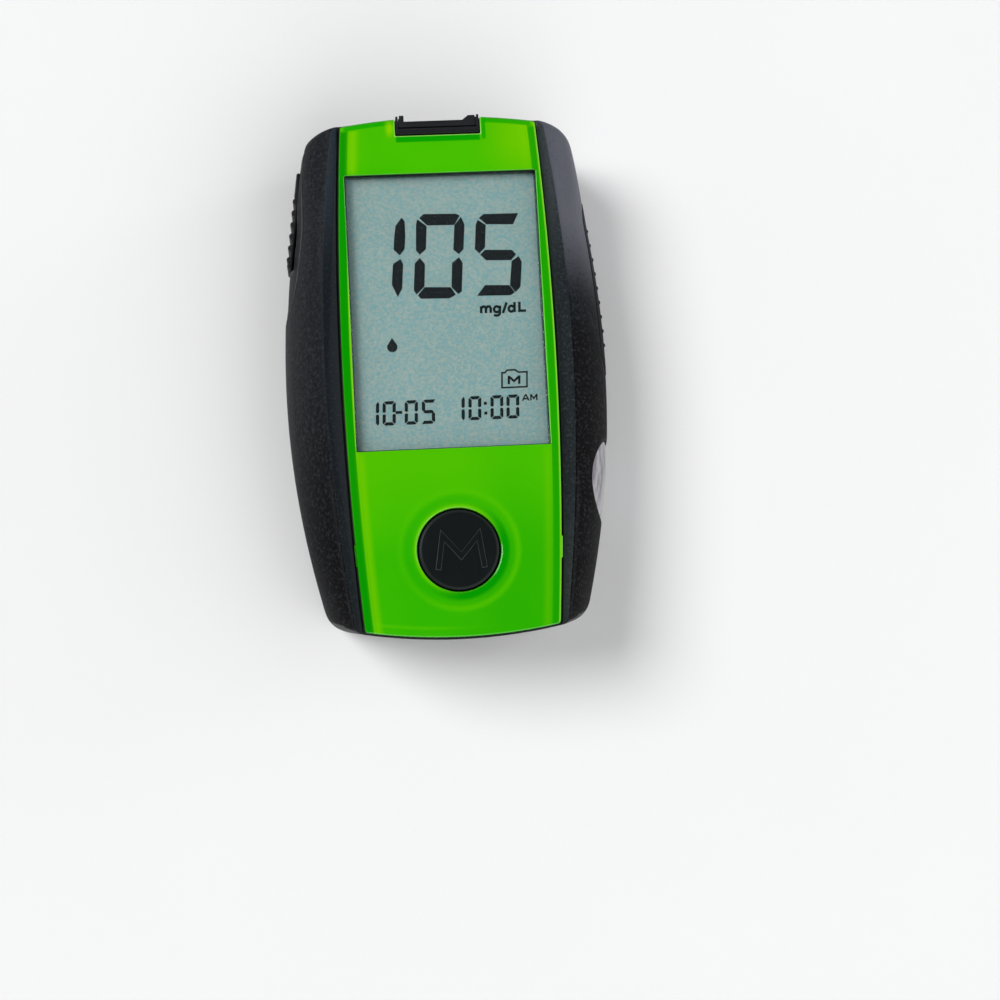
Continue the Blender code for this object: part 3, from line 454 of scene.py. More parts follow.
def rubber():
    look = Look("grip_rubber", specular=0.05)
    cloud = look.noise(6.0, 3.0, 0.6)
    dust = look.ramp(look.noise(0.9, 4.0, 0.7), 0.5, 0.75)
    colour = look.mix(cloud, (0.011, 0.0115, 0.0130), (0.016, 0.0165, 0.0185))
    # painted sheen: paler and bluer towards the top end of the pad
    painted_sheen = look.ramp(look.y, 10.0, 30.0)
    colour = look.mix(look.mul(painted_sheen, 0.8), colour, (0.036, 0.037, 0.048))
    colour = look.mix(look.mul(dust, 0.25), colour, (0.040, 0.040, 0.042))
    colour = look.mix(look.mul(look.edge_wear_and_highlight(), 0.3), colour, (0.036, 0.037, 0.040))
    look.set(Base_Color=colour, Roughness=look.add(0.70, look.mul(cloud, 0.14)))
    return look.bump(look.noise(0.22, 2.0, 0.6), 0.02)


RUBBER = rubber()


def satin_key(name, edge_wear_and_highlight, worn_and_highlight=(0.05, 0.055, 0.062)):
    look = Look(name, specular=0.15)
    cloud = look.noise(7.0, 3.0, 0.6)
    colour = look.mix(cloud, (0.0022, 0.0044, 0.0044), (0.0036, 0.0064, 0.0064))
    rub = look.noise(1.4, 3.0, 0.6, stretch=(1.0, 0.35, 1.0))
    colour = look.mix(look.mul(look.ramp(rub, 0.55, 0.8), 0.25), colour, (0.008, 0.011, 0.0115))
    colour = look.mix(look.mul(look.edge_wear_and_highlight(), edge_wear_and_highlight), colour, worn_and_highlight)
    look.set(Base_Color=colour, Roughness=look.add(0.34, look.mul(rub, 0.12)))
    return look.bump(look.noise(0.16, 2.0, 0.5), 0.004)


KEY = satin_key("key_satin", 0.5)
MARK = satin_key("mark_satin", 0.0)
# the raised mark's sides: lighter convex edges, partly edge scuffing and partly a painted highlight
MARK_EDGE_WEAR_AND_HIGHLIGHT = satin_key("mark_edge_wear_and_highlight", 0.9, (0.075, 0.080, 0.078))


def fascia_green():
    """Glossy printed acrylic. The colour follows the outline, the window, the notch and the key, and carries painted
    light and shade: painted shadows of the case's walls, the port and the key on the print under the clear acrylic,
    painted highlight lines along the edges, and painted reflections across the face.
    """
    look = Look("fascia_acrylic", ior=1.49, specular=0.38)
    x, y = look.x, look.y
    ax = look.math("ABSOLUTE", x)
    t = look.mul(y, 1.0 / SPAN)
    t2 = look.mul(t, t)
    half = look.sub(look.add(19.38, look.mul(t, 0.22)), look.mul(t2, 1.66))
    side = look.sub(half, ax)                                  # distance in from the long edge
    x2 = look.mul(x, x)
    top = look.sub(look.sub(PLATE_TOP, look.mul(x2, PLATE_CROWN / 17.9 ** 2)), y)
    low = look.add(y, look.sub(PLATE_BOTTOM, look.mul(x2, 1.55 / 17.4 ** 2)))
    ky = look.sub(y, KEY_Y)
    radius = look.math("SQRT", look.add(x2, look.mul(ky, ky)))
    cloud = look.noise(16.0, 2.0, 0.5)
    grainy = look.noise(1.2, 2.0, 0.5)

    # body colour with painted reflection: yellower towards the top corners, along the top, on the sides just under the
    # window and just under the window itself; painted shade deeper round the key
    body = look.mix(look.ramp(cloud, 0.35, 0.7), (0.034, 0.470, 0.0), (0.052, 0.505, 0.0))
    deeper = look.mul(look.ramp(y, -12.0, -34.0), look.add(0.35, look.mul(look.ramp(x, -6.0, 8.0), 0.65)))
    body = look.mix(look.mul(deeper, 0.75), body, (0.020, 0.400, 0.0))
    under = look.mul(look.ramp(y, -34.0, -15.0), look.ramp(y, 0.0, -13.0))
    under = look.mul(under, look.add(0.38, look.mul(look.ramp(x, 14.0, 0.0), 0.40)))
    body = look.mix(under, body, (0.085, 0.520, 0.0))
    corner = look.mul(look.ramp(y, 33.0, 43.0), look.ramp(x, 5.0, 16.0))
    body = look.mix(look.mul(corner, 0.85), body, (0.190, 0.580, 0.0))
    far_left = look.mul(look.ramp(y, 33.0, 42.0), look.ramp(x, -11.5, -17.5))
    body = look.mix(look.mul(far_left, 0.45), body, (0.120, 0.560, 0.0))
    crown = look.ramp(y, 34.0, 40.0)
    body = look.mix(look.mul(crown, 0.28), body, (0.095, 0.540, 0.0))
    flank = look.mul(look.ramp(ax, 8.0, 17.0), look.ramp(y, -46.0, -18.0))
    body = look.mix(look.mul(look.mul(flank, look.ramp(y, 0.0, -12.0)), 0.22), body, (0.100, 0.545, 0.0))

    # painted light and shade round the key's shallow dish: a painted highlight at the hole's upper left, a painted
    # shadow of the key deepening towards the lower right, painted shade on the upper left further out, and a soft
    # painted light ring
    away = look.math("DIVIDE", look.sub(look.mul(x, 0.80), look.mul(ky, 0.60)), look.math("MAXIMUM", radius, 0.1))
    crescent = look.mul(look.band(radius, 7.2, 9.05, 0.45), look.ramp(away, -0.35, 0.75))
    body = look.mix(look.mul(crescent, 0.96), body, (0.0, 0.310, 0.0))
    faint = look.mul(look.band(radius, 8.4, 9.9, 0.7), look.ramp(away, 0.6, -0.6))
    body = look.mix(look.mul(faint, 0.45), body, (0.008, 0.400, 0.0))
    halo = look.mul(look.band(radius, 10.3, 10.9, 0.7), look.add(0.22, look.mul(look.ramp(away, -0.5, 0.8), 0.45)))
    body = look.mix(halo, body, (0.120, 0.590, 0.0))
    inner = look.mul(look.band(radius, 7.4, 8.1, 0.35), look.ramp(away, 0.7, -0.5))
    body = look.mix(look.mul(inner, 0.8), body, (0.150, 0.600, 0.0))

    # the edges in painted light and shade: a deeper band of painted shade where the case's walls shade the print and
    # the moulding's thickness shows, with a painted highlight line either side; painted shade also along the top edge
    # and the left edge, painted highlights left of the notch and along the lower edge
    deep = look.mul(look.ramp(side, 1.62, 1.45), look.ramp(side, 0.05, 0.3))
    deep = look.mul(deep, look.ramp(top, 0.6, 1.4))
    left = look.ramp(x, 4.0, -4.0)
    body = look.mix(look.mul(deep, 0.94), body, look.mix(left, (0.010, 0.345, 0.0), (0.0, 0.290, 0.0)))
    line = look.mul(look.band(side, 1.52, 1.84, 0.12), left)
    line = look.mul(look.mul(line, look.ramp(y, 37.0, 22.0)), look.add(0.25, look.mul(look.ramp(y, -17.0, -12.0), 0.75)))
    body = look.mix(look.mul(line, 0.9), body, (0.210, 0.600, 0.004))
    soft_low = look.mul(look.band(side, 1.8, 2.9, 0.75), look.ramp(y, -12.5, -16.0))
    soft_low = look.mul(soft_low, look.add(0.35, look.mul(left, 0.45)))
    body = look.mix(soft_low, body, (0.155, 0.560, 0.0))
    soft_high = look.mul(look.mul(look.band(side, 1.8, 3.1, 0.9), look.ramp(y, 36.0, 38.5)), look.ramp(top, 0.9, 1.6))
    body = look.mix(look.mul(soft_high, look.add(0.25, look.mul(left, 0.6))), body, (0.190, 0.600, 0.0))
    outer_line = look.mul(look.band(side, 0.02, 0.34, 0.10), look.ramp(x, -4.0, 4.0))
    body = look.mix(look.mul(outer_line, 0.85), body, (0.190, 0.590, 0.010))
    outer_dark = look.mul(look.ramp(side, 0.26, 0.06), left)
    body = look.mix(look.mul(outer_dark, 0.8), body, (0.002, 0.090, 0.002))
    head = look.mul(look.ramp(top, 1.20, 0.85), look.ramp(side, 0.3, 1.2))
    head = look.mul(head, look.ramp(ax, NOTCH_HALF - 0.2, NOTCH_HALF + 0.6))
    body = look.mix(look.mul(head, 0.85), body, (0.002, 0.375, 0.0))
    brim = look.mul(look.ramp(top, 0.45, 0.15), look.ramp(ax, NOTCH_HALF - 0.2, NOTCH_HALF + 0.4))
    body = look.mix(look.mul(brim, 0.7), body, (0.060, 0.270, 0.030))
    glow = look.mul(look.band(x, -NOTCH_HALF - 1.5, -NOTCH_HALF - 0.5, 0.75), look.band(y, NOTCH_Y + 0.2, NOTCH_Y + 2.6, 1.1))
    body = look.mix(look.mul(glow, 0.9), body, (0.290, 0.660, 0.0))
    foot = look.mul(look.band(low, 1.35, 1.75, 0.35), look.ramp(side, 1.2, 2.2))
    body = look.mix(look.mul(look.mul(foot, look.ramp(x, 6.0, -8.0)), 0.4), body, (0.130, 0.600, 0.002))

    # notch of the strip port: painted shadow of the port's frame below and to the right of the notch, and painted
    # highlight lines along its edge
    under_notch = look.mul(look.band(y, NOTCH_Y - 1.25, NOTCH_Y + 0.4, 0.16), look.ramp(ax, NOTCH_HALF + 0.1, NOTCH_HALF - 0.3))
    body = look.mix(look.mul(under_notch, 0.95), body, (0.0, 0.330, 0.0))
    beside = look.mul(look.band(x, NOTCH_HALF + 0.25, NOTCH_HALF + 0.95, 0.14), look.ramp(y, NOTCH_Y - 1.3, NOTCH_Y - 0.8))
    body = look.mix(look.mul(beside, 0.9), body, (0.004, 0.370, 0.0))
    rim_low = look.mul(look.band(y, NOTCH_Y - 0.22, NOTCH_Y + 0.1, 0.06), look.ramp(ax, NOTCH_HALF + 0.3, NOTCH_HALF))
    rim_side = look.mul(look.band(ax, NOTCH_HALF - 0.1, NOTCH_HALF + 0.18, 0.06), look.ramp(y, NOTCH_Y - 0.3, NOTCH_Y))
    body = look.mix(look.mul(look.math("MAXIMUM", rim_low, rim_side), 0.6), body, (0.420, 0.800, 0.160))

    # painted shade: a dark line along the window's edge
    wy = look.sub(look.math("ABSOLUTE", look.sub(y, WINDOW_Y)), WINDOW_HALF[1])
    wx = look.sub(ax, WINDOW_HALF[0])
    outside = look.math("MAXIMUM", wx, wy)
    body = look.mix(look.mul(look.ramp(outside, 0.16, 0.04), 0.8), body, (0.004, 0.085, 0.006))
    # painted highlight: a thin lighter line along the right long edge
    rim = look.ramp(side, 0.14, 0.02)
    body = look.mix(look.mul(look.mul(rim, look.sub(1.0, left)), 0.55), body, (0.160, 0.620, 0.010))
    # painted highlight: lighter lime on the plate's convex edges, left out along its left long edge, where the gloss
    # is also lowered
    shaded = look.mul(look.ramp(side, 0.45, 0.20), left)
    body = look.mix(look.mul(look.mul(look.edge_wear_and_highlight(), look.sub(1.0, shaded)), 0.35), body, (0.150, 0.640, 0.020))
    look.set(Specular_IOR_Level=look.sub(0.38, look.mul(shaded, 0.34)), Base_Color=body, Roughness=look.add(0.07, look.mul(grainy, 0.05)))
    return look.bump(look.noise(5.0, 2.0, 0.5), 0.004, 0.35)


FASCIA = fascia_green()


def lcd_face():
    """Reflective grey-green display with the faint mottle of its polariser."""
    look = Look("display_face", specular=0.4)
    big = look.noise(14.0, 2.0, 0.5)
    cool = look.noise(0.62, 2.0, 0.65)
    warm = look.noise(0.55, 2.0, 0.65, stretch=(1.0, 1.3, 1.0))
    body = look.mix(look.ramp(big, 0.3, 0.7), (0.170, 0.246, 0.246), (0.186, 0.262, 0.263))
    body = look.mix(look.mul(look.ramp(cool, 0.46, 0.60), 0.80), body, (0.118, 0.248, 0.270))
    body = look.mix(look.mul(look.ramp(warm, 0.48, 0.62), 0.72), body, (0.262, 0.284, 0.252))
    body = look.mix(look.mul(look.ramp(cool, 0.42, 0.30), 0.55), body, (0.225, 0.318, 0.318))
    # painted shade: a dark line on the display along the window's edge
    ax = look.math("ABSOLUTE", look.x)
    edge = look.math("MAXIMUM", look.sub(ax, 17.36), look.sub(look.math("ABSOLUTE", look.sub(look.y, WINDOW_Y)), 25.3))
    body = look.mix(look.mul(look.ramp(edge, -0.26, 0.0), 0.75), body, (0.012, 0.030, 0.024))
    look.set(Base_Color=body, Roughness=look.add(0.32, look.mul(cool, 0.08)))
    return look.bump(look.noise(0.35, 1.0, 0.5), 0.003)


LCD_FACE = lcd_face()


def lcd_ink():
    look = Look("display_ink", specular=0.1)
    body = look.mix(look.noise(0.6, 2.0, 0.6), (0.0035, 0.0050, 0.0066), (0.0070, 0.0092, 0.0110))
    look.set(Base_Color=body, Roughness=look.add(0.55, look.mul(look.noise(0.4), 0.1)))
    return look.bump(look.noise(0.3, 1.0, 0.5), 0.002)


INK = lcd_ink()


def clear_pane():
    """Clear window: faint haze and a hair of tint, and it lets the lamps through to the display."""
    look = Look("window_acrylic", roughness=0.03, ior=1.49)
    tree = look.tree
    haze = look.noise(11.0, 3.0, 0.6)
    look.set(Base_Color=look.mix(haze, (0.93, 0.965, 0.955), (0.965, 0.985, 0.98)),
             Roughness=look.add(0.02, look.mul(haze, 0.02)), Transmission_Weight=1.0)
    look.bump(look.noise(7.0, 2.0, 0.5), 0.003, 0.3)
    out = next(n for n in tree.nodes if n.type == "OUTPUT_MATERIAL")
    path = tree.nodes.new("ShaderNodeLightPath")
    through = tree.nodes.new("ShaderNodeBsdfTransparent")
    through.inputs[0].default_value = (0.95, 0.975, 0.97, 1.0)
    blend = tree.nodes.new("ShaderNodeMixShader")
    tree.links.new(path.outputs["Is Shadow Ray"], blend.inputs[0])
    tree.links.new(look.bsdf.outputs[0], blend.inputs[1])
    tree.links.new(through.outputs[0], blend.inputs[2])
    tree.links.new(blend.outputs[0], out.inputs["Surface"])
    return look


PANE = clear_pane()


def chrome_plate():
    look = Look("chrome_plate", metallic=1.0)
    smear = look.noise(3.5, 3.0, 0.6, stretch=(1.0, 0.4, 1.0))
    body = look.mix(smear, (0.70, 0.72, 0.76), (0.88, 0.89, 0.91))
    # painted reflections: dark bluish and bright streaks running along the key
    reflection_streaks = look.noise(1.5, 3.0, 0.6, stretch=(1.0, 0.22, 1.0))
    body = look.mix(look.mul(look.ramp(reflection_streaks, 0.47, 0.58), 0.9), body, (0.10, 0.11, 0.15))
    body = look.mix(look.mul(look.ramp(reflection_streaks, 0.42, 0.32), 0.8), body, (0.98, 0.98, 0.99))
    # painted reflections: darker bands high and low on the dome
    body = look.mix(look.mul(look.ramp(look.z, 14.0, 16.8), 0.72), body, (0.25, 0.23, 0.25))
    body = look.mix(look.mul(look.ramp(look.z, 10.4, 8.2), 0.75), body, (0.16, 0.17, 0.21))
    look.set(Base_Color=body, Roughness=look.add(0.06, look.mul(look.ramp(smear, 0.4, 0.8), 0.08)))
    return look.bump(look.noise(2.2, 2.0, 0.5), 0.006)


CHROME = chrome_plate()


def brushed(name, dark, light, roughness, stretch=(1.0, 6.0, 1.0)):
    look = Look(name, metallic=1.0)
    lines = look.noise(0.35, 2.0, 0.6, stretch=stretch)
    stain = look.noise(2.4, 3.0, 0.6)
    body = look.mix(look.ramp(stain, 0.35, 0.7), dark, light)
    look.set(Base_Color=body, Roughness=look.add(roughness, look.mul(lines, 0.14)))
    return look.bump(lines, 0.006)


STEEL = brushed("spring_steel", (0.42, 0.42, 0.43), (0.60, 0.60, 0.61), 0.22)
SCREW = brushed("screw_steel", (0.10, 0.10, 0.105), (0.20, 0.20, 0.205), 0.30, stretch=(1.0, 1.0, 3.0))
GOLD = brushed("contact_gold", (0.80, 0.55, 0.20), (0.92, 0.68, 0.30), 0.20)


def board():
    """Green solder mask over copper tracks, with pads."""
    look = Look("circuit_board", specular=0.5)
    lane = look.math("PINGPONG", look.add(look.y, look.mul(look.noise(9.0, 0.0), 3.0)), 0.8)
    tracks = look.ramp(lane, 0.26, 0.34)
    pads = look.ramp(look.cells(3.2), 0.20, 0.16)
    body = look.mix(tracks, (0.006, 0.085, 0.022), (0.012, 0.135, 0.036))
    body = look.mix(look.mul(pads, 0.9), body, (0.55, 0.50, 0.38))
    look.set(Base_Color=body, Roughness=look.add(0.30, look.mul(look.noise(2.0), 0.15)))
    return look.bump(tracks, 0.03)


BOARD = board()


def chip():
    look = Look("chip_epoxy", specular=0.4)
    fine = look.noise(0.25, 3.0, 0.7)
    body = look.mix(fine, (0.010, 0.010, 0.011), (0.022, 0.022, 0.023))
    body = look.mix(look.mul(look.edge_wear_and_highlight(), 0.3), body, (0.06, 0.06, 0.06))
    look.set(Base_Color=body, Roughness=look.add(0.42, look.mul(fine, 0.12)))
    return look.bump(fine, 0.012)


CHIP = chip()


def plain(name, dark, light, roughness, size, depth):
    look = Look(name, specular=0.4)
    fine = look.noise(size, 3.0, 0.6)
    look.set(Base_Color=look.mix(look.ramp(fine, 0.3, 0.7), dark, light),
             Roughness=look.add(roughness, look.mul(look.noise(size * 4), 0.14)))
    return look.bump(fine, depth)


TRAY = plain("tray_plastic", (0.66, 0.67, 0.65), (0.76, 0.77, 0.75), 0.42, 1.2, 0.01)
NYLON = plain("ivory_nylon", (0.56, 0.52, 0.42), (0.66, 0.62, 0.52), 0.42, 0.8, 0.012)


def zebra():
    look = Look("zebra_elastomer", specular=0.3)
    stripe = look.ramp(look.math("PINGPONG", look.x, 0.12), 0.04, 0.08)
    look.set(Base_Color=look.mix(stripe, (0.02, 0.02, 0.022), (0.26, 0.25, 0.24)),
             Roughness=look.add(0.55, look.mul(look.noise(0.8), 0.15)))
    return look.bump(stripe, 0.01)


ZEBRA = zebra()


def cell_jacket():
    """Plain printed jacket: dark body, copper-coloured band at the positive end, bare metal ends."""
    look = Look("cell_sleeve", specular=0.5)
    ring_side = look.ramp(look.x, -0.2, 0.2)                  # the two cells lie head to tail
    along = look.mix(ring_side, look.sub(6.9, look.y), look.add(look.y, 36.4))
    scuff = look.noise(0.8, 4.0, 0.7, stretch=(1.0, 0.3, 1.0))
    body = look.mix(look.noise(5.0), (0.012, 0.022, 0.045), (0.018, 0.032, 0.062))
    body = look.mix(look.ramp(along, 12.5, 12.2), body, (0.50, 0.24, 0.09))
    body = look.mix(look.band(along, 12.2, 12.9, 0.06), body, (0.62, 0.62, 0.60))
    body = look.mix(look.ramp(along, 0.55, 0.45), body, (0.62, 0.62, 0.63))
    body = look.mix(look.mul(look.ramp(scuff, 0.6, 0.8), 0.25), body, (0.30, 0.30, 0.30))
    look.set(Base_Color=body, Roughness=look.add(0.26, look.mul(scuff, 0.16)))
    return look.bump(scuff, 0.008)


CELL = cell_jacket()


# ---------------------------------------------------------------- mesh helpers
PIECES = bpy.data.collections.new("pieces")
bpy.context.scene.collection.children.link(PIECES)


def to_object(name, bm, matrix=None):
    """An object from bmesh data in millimetres."""
    bmesh.ops.recalc_face_normals(bm, faces=bm.faces)
    bmesh.ops.scale(bm, vec=(MM, MM, MM), verts=bm.verts)
    if matrix is not None:
        bmesh.ops.transform(bm, matrix=matrix, verts=bm.verts)
    mesh = bpy.data.meshes.new(name)
    bm.to_mesh(mesh)
    bm.free()
    obj = bpy.data.objects.new(name, mesh)
    PIECES.objects.link(obj)
    return obj


def loft(name, rings, matrix=None):
    bm = bmesh.new()
    rows = [[bm.verts.new((p[0], p[1], z)) for p in points] for z, points in rings]
    count = len(rows[0])
    for low, high in zip(rows, rows[1:]):
        for i in range(count):
            j = (i + 1) % count
            bm.faces.new((low[i], low[j], high[j], high[i]))
    bm.faces.new(list(reversed(rows[0])))
    bm.faces.new(rows[-1])
    return to_object(name, bm, matrix)


def box(name, x0, x1, y0, y1, z0, z1, matrix=None, round_off=0.0, segments=2):
    bm = bmesh.new()
    made = bmesh.ops.create_cube(bm, size=1.0)["verts"]
    bmesh.ops.scale(bm, vec=(x1 - x0, y1 - y0, z1 - z0), verts=made)
    bmesh.ops.translate(bm, vec=((x0 + x1) / 2, (y0 + y1) / 2, (z0 + z1) / 2), verts=made)
    if round_off:
        bmesh.ops.bevel(bm, geom=list(bm.edges), offset=round_off, segments=segments, profile=0.5, affect="EDGES")
    return to_object(name, bm, matrix)


def cyl(name, x, y, z0, z1, r, axis="Z", steps=40, matrix=None, round_off=0.0):
    bm = bmesh.new()
    made = bmesh.ops.create_cone(bm, cap_ends=True, cap_tris=False, segments=steps,
                                 radius1=r, radius2=r, depth=z1 - z0)["verts"]
    if round_off:
        rims = [e for e in bm.edges if abs(e.verts[0].co.z - e.verts[1].co.z) < 1e-6]
        bmesh.ops.bevel(bm, geom=rims, offset=round_off, segments=3, profile=0.5, affect="EDGES")
    made = list(bm.verts)
    bmesh.ops.translate(bm, vec=(0, 0, (z0 + z1) / 2), verts=made)
    if axis == "Y":
        bmesh.ops.rotate(bm, cent=(0, 0, 0), matrix=Matrix.Rotation(-math.pi / 2, 3, "X"), verts=made)
        bmesh.ops.translate(bm, vec=(x, 0, y), verts=made)
    elif axis == "X":
        bmesh.ops.rotate(bm, cent=(0, 0, 0), matrix=Matrix.Rotation(math.pi / 2, 3, "Y"), verts=made)
        bmesh.ops.translate(bm, vec=(0, x, y), verts=made)
    else:
        bmesh.ops.translate(bm, vec=(x, y, 0), verts=made)
    return to_object(name, bm, matrix)


def turned(name, profile, steps=72, x=0.0, y=0.0):
    """(radius, height) from the axis at the top to the axis at the bottom, spun about Z."""
    bm = bmesh.new()
    rows = []
    for r, z in profile:
        if r < 1e-6:
            rows.append([bm.verts.new((x, y, z))])
        else:
            rows.append([bm.verts.new((x + r * math.cos(2 * math.pi * i / steps),
                                       y + r * math.sin(2 * math.pi * i / steps), z)) for i in range(steps)])
    for one, two in zip(rows, rows[1:]):
        for i in range(steps):
            j = (i + 1) % steps
            if len(one) == 1:
                bm.faces.new((one[0], two[i], two[j]))
            elif len(two) == 1:
                bm.faces.new((one[i], two[0], one[j]))
            else:
                bm.faces.new((one[i], two[i], two[j], one[j]))
    return to_object(name, bm)


def offset(outline, d):
    """A closed outline moved by d to its right-hand side, which is outwards for an anticlockwise one."""
    out = []
    n = len(outline)
    for i in range(n):
        p, q, r = (Vector(outline[(i + k) % n][:2]) for k in (-1, 0, 1))
        a, b = (q - p), (r - q)
        if a.length < 1e-9:
            a = b
        if b.length < 1e-9:
            b = a
        na, nb = Vector((a.y, -a.x)).normalized(), Vector((b.y, -b.x)).normalized()
        m = na + nb
        m = m / max(m.length_squared, 0.5) * 2.0 if m.length > 1e-6 else na
        out.append((q.x + m.x * d, q.y + m.y * d))
    return out


def signed_area(outline):
    return sum(p[0] * q[1] - q[0] * p[1] for p, q in zip(outline, outline[1:] + outline[:1])) / 2


def profiled(name, outlines, z0, z1, top=0.2, bottom=0.1, steps=3, matrix=None, mids=()):
    """A plate with rounded edges: the first outline is its edge, the others are holes.
    top and bottom are the rounding radii."""
    bm = bmesh.new()
    stack = []                                                # (z, how far inside the outline)
    if bottom:
        stack += [(z0 + bottom * (1 - math.cos(a)), bottom * (1 - math.sin(a)))
                  for a in [math.pi / 2 * i / steps for i in range(steps + 1)]]
    else:
        stack.append((z0, 0.0))
    stack += [(z, 0.0) for z in mids]
    if top:
        stack += [(z1 - top * (1 - math.sin(a)), top * (1 - math.cos(a)))
                  for a in [math.pi / 2 * i / steps for i in range(steps + 1)]]
    else:
        stack.append((z1, 0.0))
    loops = []
    for k, outline in enumerate(outlines):
        outline = [tuple(p[:2]) for p in outline]
        if (signed_area(outline) > 0) != (k == 0):
            outline = outline[::-1]
        rows = [[bm.verts.new((px, py, z)) for px, py in offset(outline, -inside)] for z, inside in stack]
        for low, high in zip(rows, rows[1:]):
            for i in range(len(low)):
                j = (i + 1) % len(low)
                bm.faces.new((low[i], low[j], high[j], high[i]))
        loops.append(rows)
    for level, flip in ((0, True), (-1, False)):
        verts = [v for rows in loops for v in rows[level]]
        for tri in tessellate_polygon([[v.co.copy() for v in rows[level]] for rows in loops]):
            corner = [verts[i] for i in tri]
            if len(set(corner)) == 3:
                try:
                    bm.faces.new(corner[::-1] if flip else corner)
                except ValueError:
                    pass
    return to_object(name, bm, matrix)


def rounded_rect(x0, x1, y0, y1, r, n=6):
    points = []
    for cx, cy, start in ((x1 - r, y1 - r, 0), (x0 + r, y1 - r, 90), (x0 + r, y0 + r, 180), (x1 - r, y0 + r, 270)):
        for i in range(n + 1):
            a = math.radians(start + 90 * i / n)
            points.append((cx + r * math.cos(a), cy + r * math.sin(a)))
    return points


def circle(x, y, r, n=72):
    return [(x + r * math.cos(2 * math.pi * i / n), y + r * math.sin(2 * math.pi * i / n)) for i in range(n)]


def combine(obj, others, operation):
    for other in others:
        mod = obj.modifiers.new("combine", "BOOLEAN")
        mod.operation = operation
        mod.solver = "EXACT"
        mod.object = other
    graph = bpy.context.evaluated_depsgraph_get()
    mesh = bpy.data.meshes.new_from_object(obj.evaluated_get(graph))
    obj.modifiers.clear()
    obj.data = mesh
    for other in others:
        bpy.data.objects.remove(other, do_unlink=True)
    return obj


def cut(obj, *others):
    return combine(obj, others, "DIFFERENCE")


def join(obj, *others):
    return combine(obj, others, "UNION")


def keep(obj, *others):
    return combine(obj, others, "INTERSECT")


def finish_piece(obj, look, body, replaces=(), soften=0.0, where=None, sharp=34, extra=(), pick=None):
    """Rounds its hard outer edges, marks how sharp its convex edges are, which materials turn into scuffed edges and
    painted edge highlights, shades it, and ties it to its body.
    """
    bm = bmesh.new()
    bm.from_mesh(obj.data)
    bm.transform(obj.matrix_world)
    obj.matrix_world = Matrix.Identity(4)
    bmesh.ops.remove_doubles(bm, verts=bm.verts, dist=2e-6)
    bmesh.ops.dissolve_degenerate(bm, dist=2e-6, edges=bm.edges)
    limit = math.radians(sharp)
    if soften:
        hard = [e for e in bm.edges if len(e.link_faces) == 2 and e.is_convex and e.calc_face_angle(0.0) > limit
                and (where is None or where((e.verts[0].co + e.verts[1].co) / 2 / MM))]
        bmesh.ops.bevel(bm, geom=hard, offset=soften * MM, segments=2, profile=0.5, affect="EDGES",
                        clamp_overlap=False, loop_slide=True)
        bmesh.ops.remove_doubles(bm, verts=bm.verts, dist=1e-6)
    bm.normal_update()
    worn_and_highlight = {}
    for e in bm.edges:
        if len(e.link_faces) == 2 and e.is_convex:
            a = e.calc_face_angle(0.0)
            if a > 0.22:
                for v in e.verts:
                    worn_and_highlight[v.index] = max(worn_and_highlight.get(v.index, 0.0), min(1.0, a / 0.8))
    bm.verts.index_update()
    mesh = bpy.data.meshes.new(obj.name)
    bm.to_mesh(mesh)
    bm.free()
    attribute = mesh.attributes.new("edge_wear_and_highlight", "FLOAT", "POINT")
    values = [worn_and_highlight.get(i, 0.0) for i in range(len(mesh.vertices))]
    attribute.data.foreach_set("value", values)
    obj.data = mesh
    mesh.materials.clear()
    mesh.materials.append(look.mat)
    for other in extra:
        mesh.materials.append(other.mat)
    if pick is not None:
        for poly in mesh.polygons:
            poly.material_index = pick(poly.center / MM, poly.normal)
    mesh.shade_smooth()
    mesh.set_sharp_from_angle(angle=math.radians(32))
    weighted = obj.modifiers.new("flat faces lead", "WEIGHTED_NORMAL")
    weighted.keep_sharp = True
    weighted.weight = 60
    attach(obj, body)
    if replaces:
        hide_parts(*replaces)
    return obj


# ---------------------------------------------------------------- shells
def shell_body(name, inset, z0, z1, step=0.9, **fine):
    """The shell's outer form moved inwards by inset, between two heights."""
    count = max(2, round((z1 - z0) / step))
    return loft(name, [(z0 + (z1 - z0) * i / count, shell_ring(level_at(z0 + (z1 - z0) * i / count), inset, **fine))
                       for i in range(count + 1)])


def rough_body(name, inset, z0, z1):
    return shell_body(name, inset, z0, z1, step=2.0, sides=20, bends=4, ends=8)


def outer_shell(name, z0, z1, lower, upper):
    """Outer form with a small rounding where it ends at z0 and z1."""
    heights, insets = [], []
    if lower:
        for a in (0.0, 30.0, 60.0, 90.0):
            heights.append(z0 + lower * (1 - math.cos(math.radians(a))))
            insets.append(lower * (1 - math.sin(math.radians(a))))
    else:
        heights.append(z0)
        insets.append(0.0)
    last = z1 - upper if upper else z1
    count = round((last - heights[-1]) / 0.62)
    start = heights[-1]
    for i in range(1, count + 1):
        heights.append(start + (last - start) * i / count)
        insets.append(0.0)
    if upper:
        for a in (30.0, 60.0, 90.0):
            heights.append(z1 - upper * (1 - math.sin(math.radians(a))))
            insets.append(upper * (1 - math.cos(math.radians(a))))
    return loft(name, [(z, shell_ring(level_at(z), inset)) for z, inset in zip(heights, insets)])


STAND = Matrix(((0, 0, 1, 0), (1, 0, 0, 0), (0, 1, 0, 0), (0, 0, 0, 1)))


def side_prism(name, outline, x0, x1):
    """An outline drawn in (Y, Z), run along X."""
    return profiled(name, [outline], x0, x1, top=0.0, bottom=0.0, matrix=STAND)


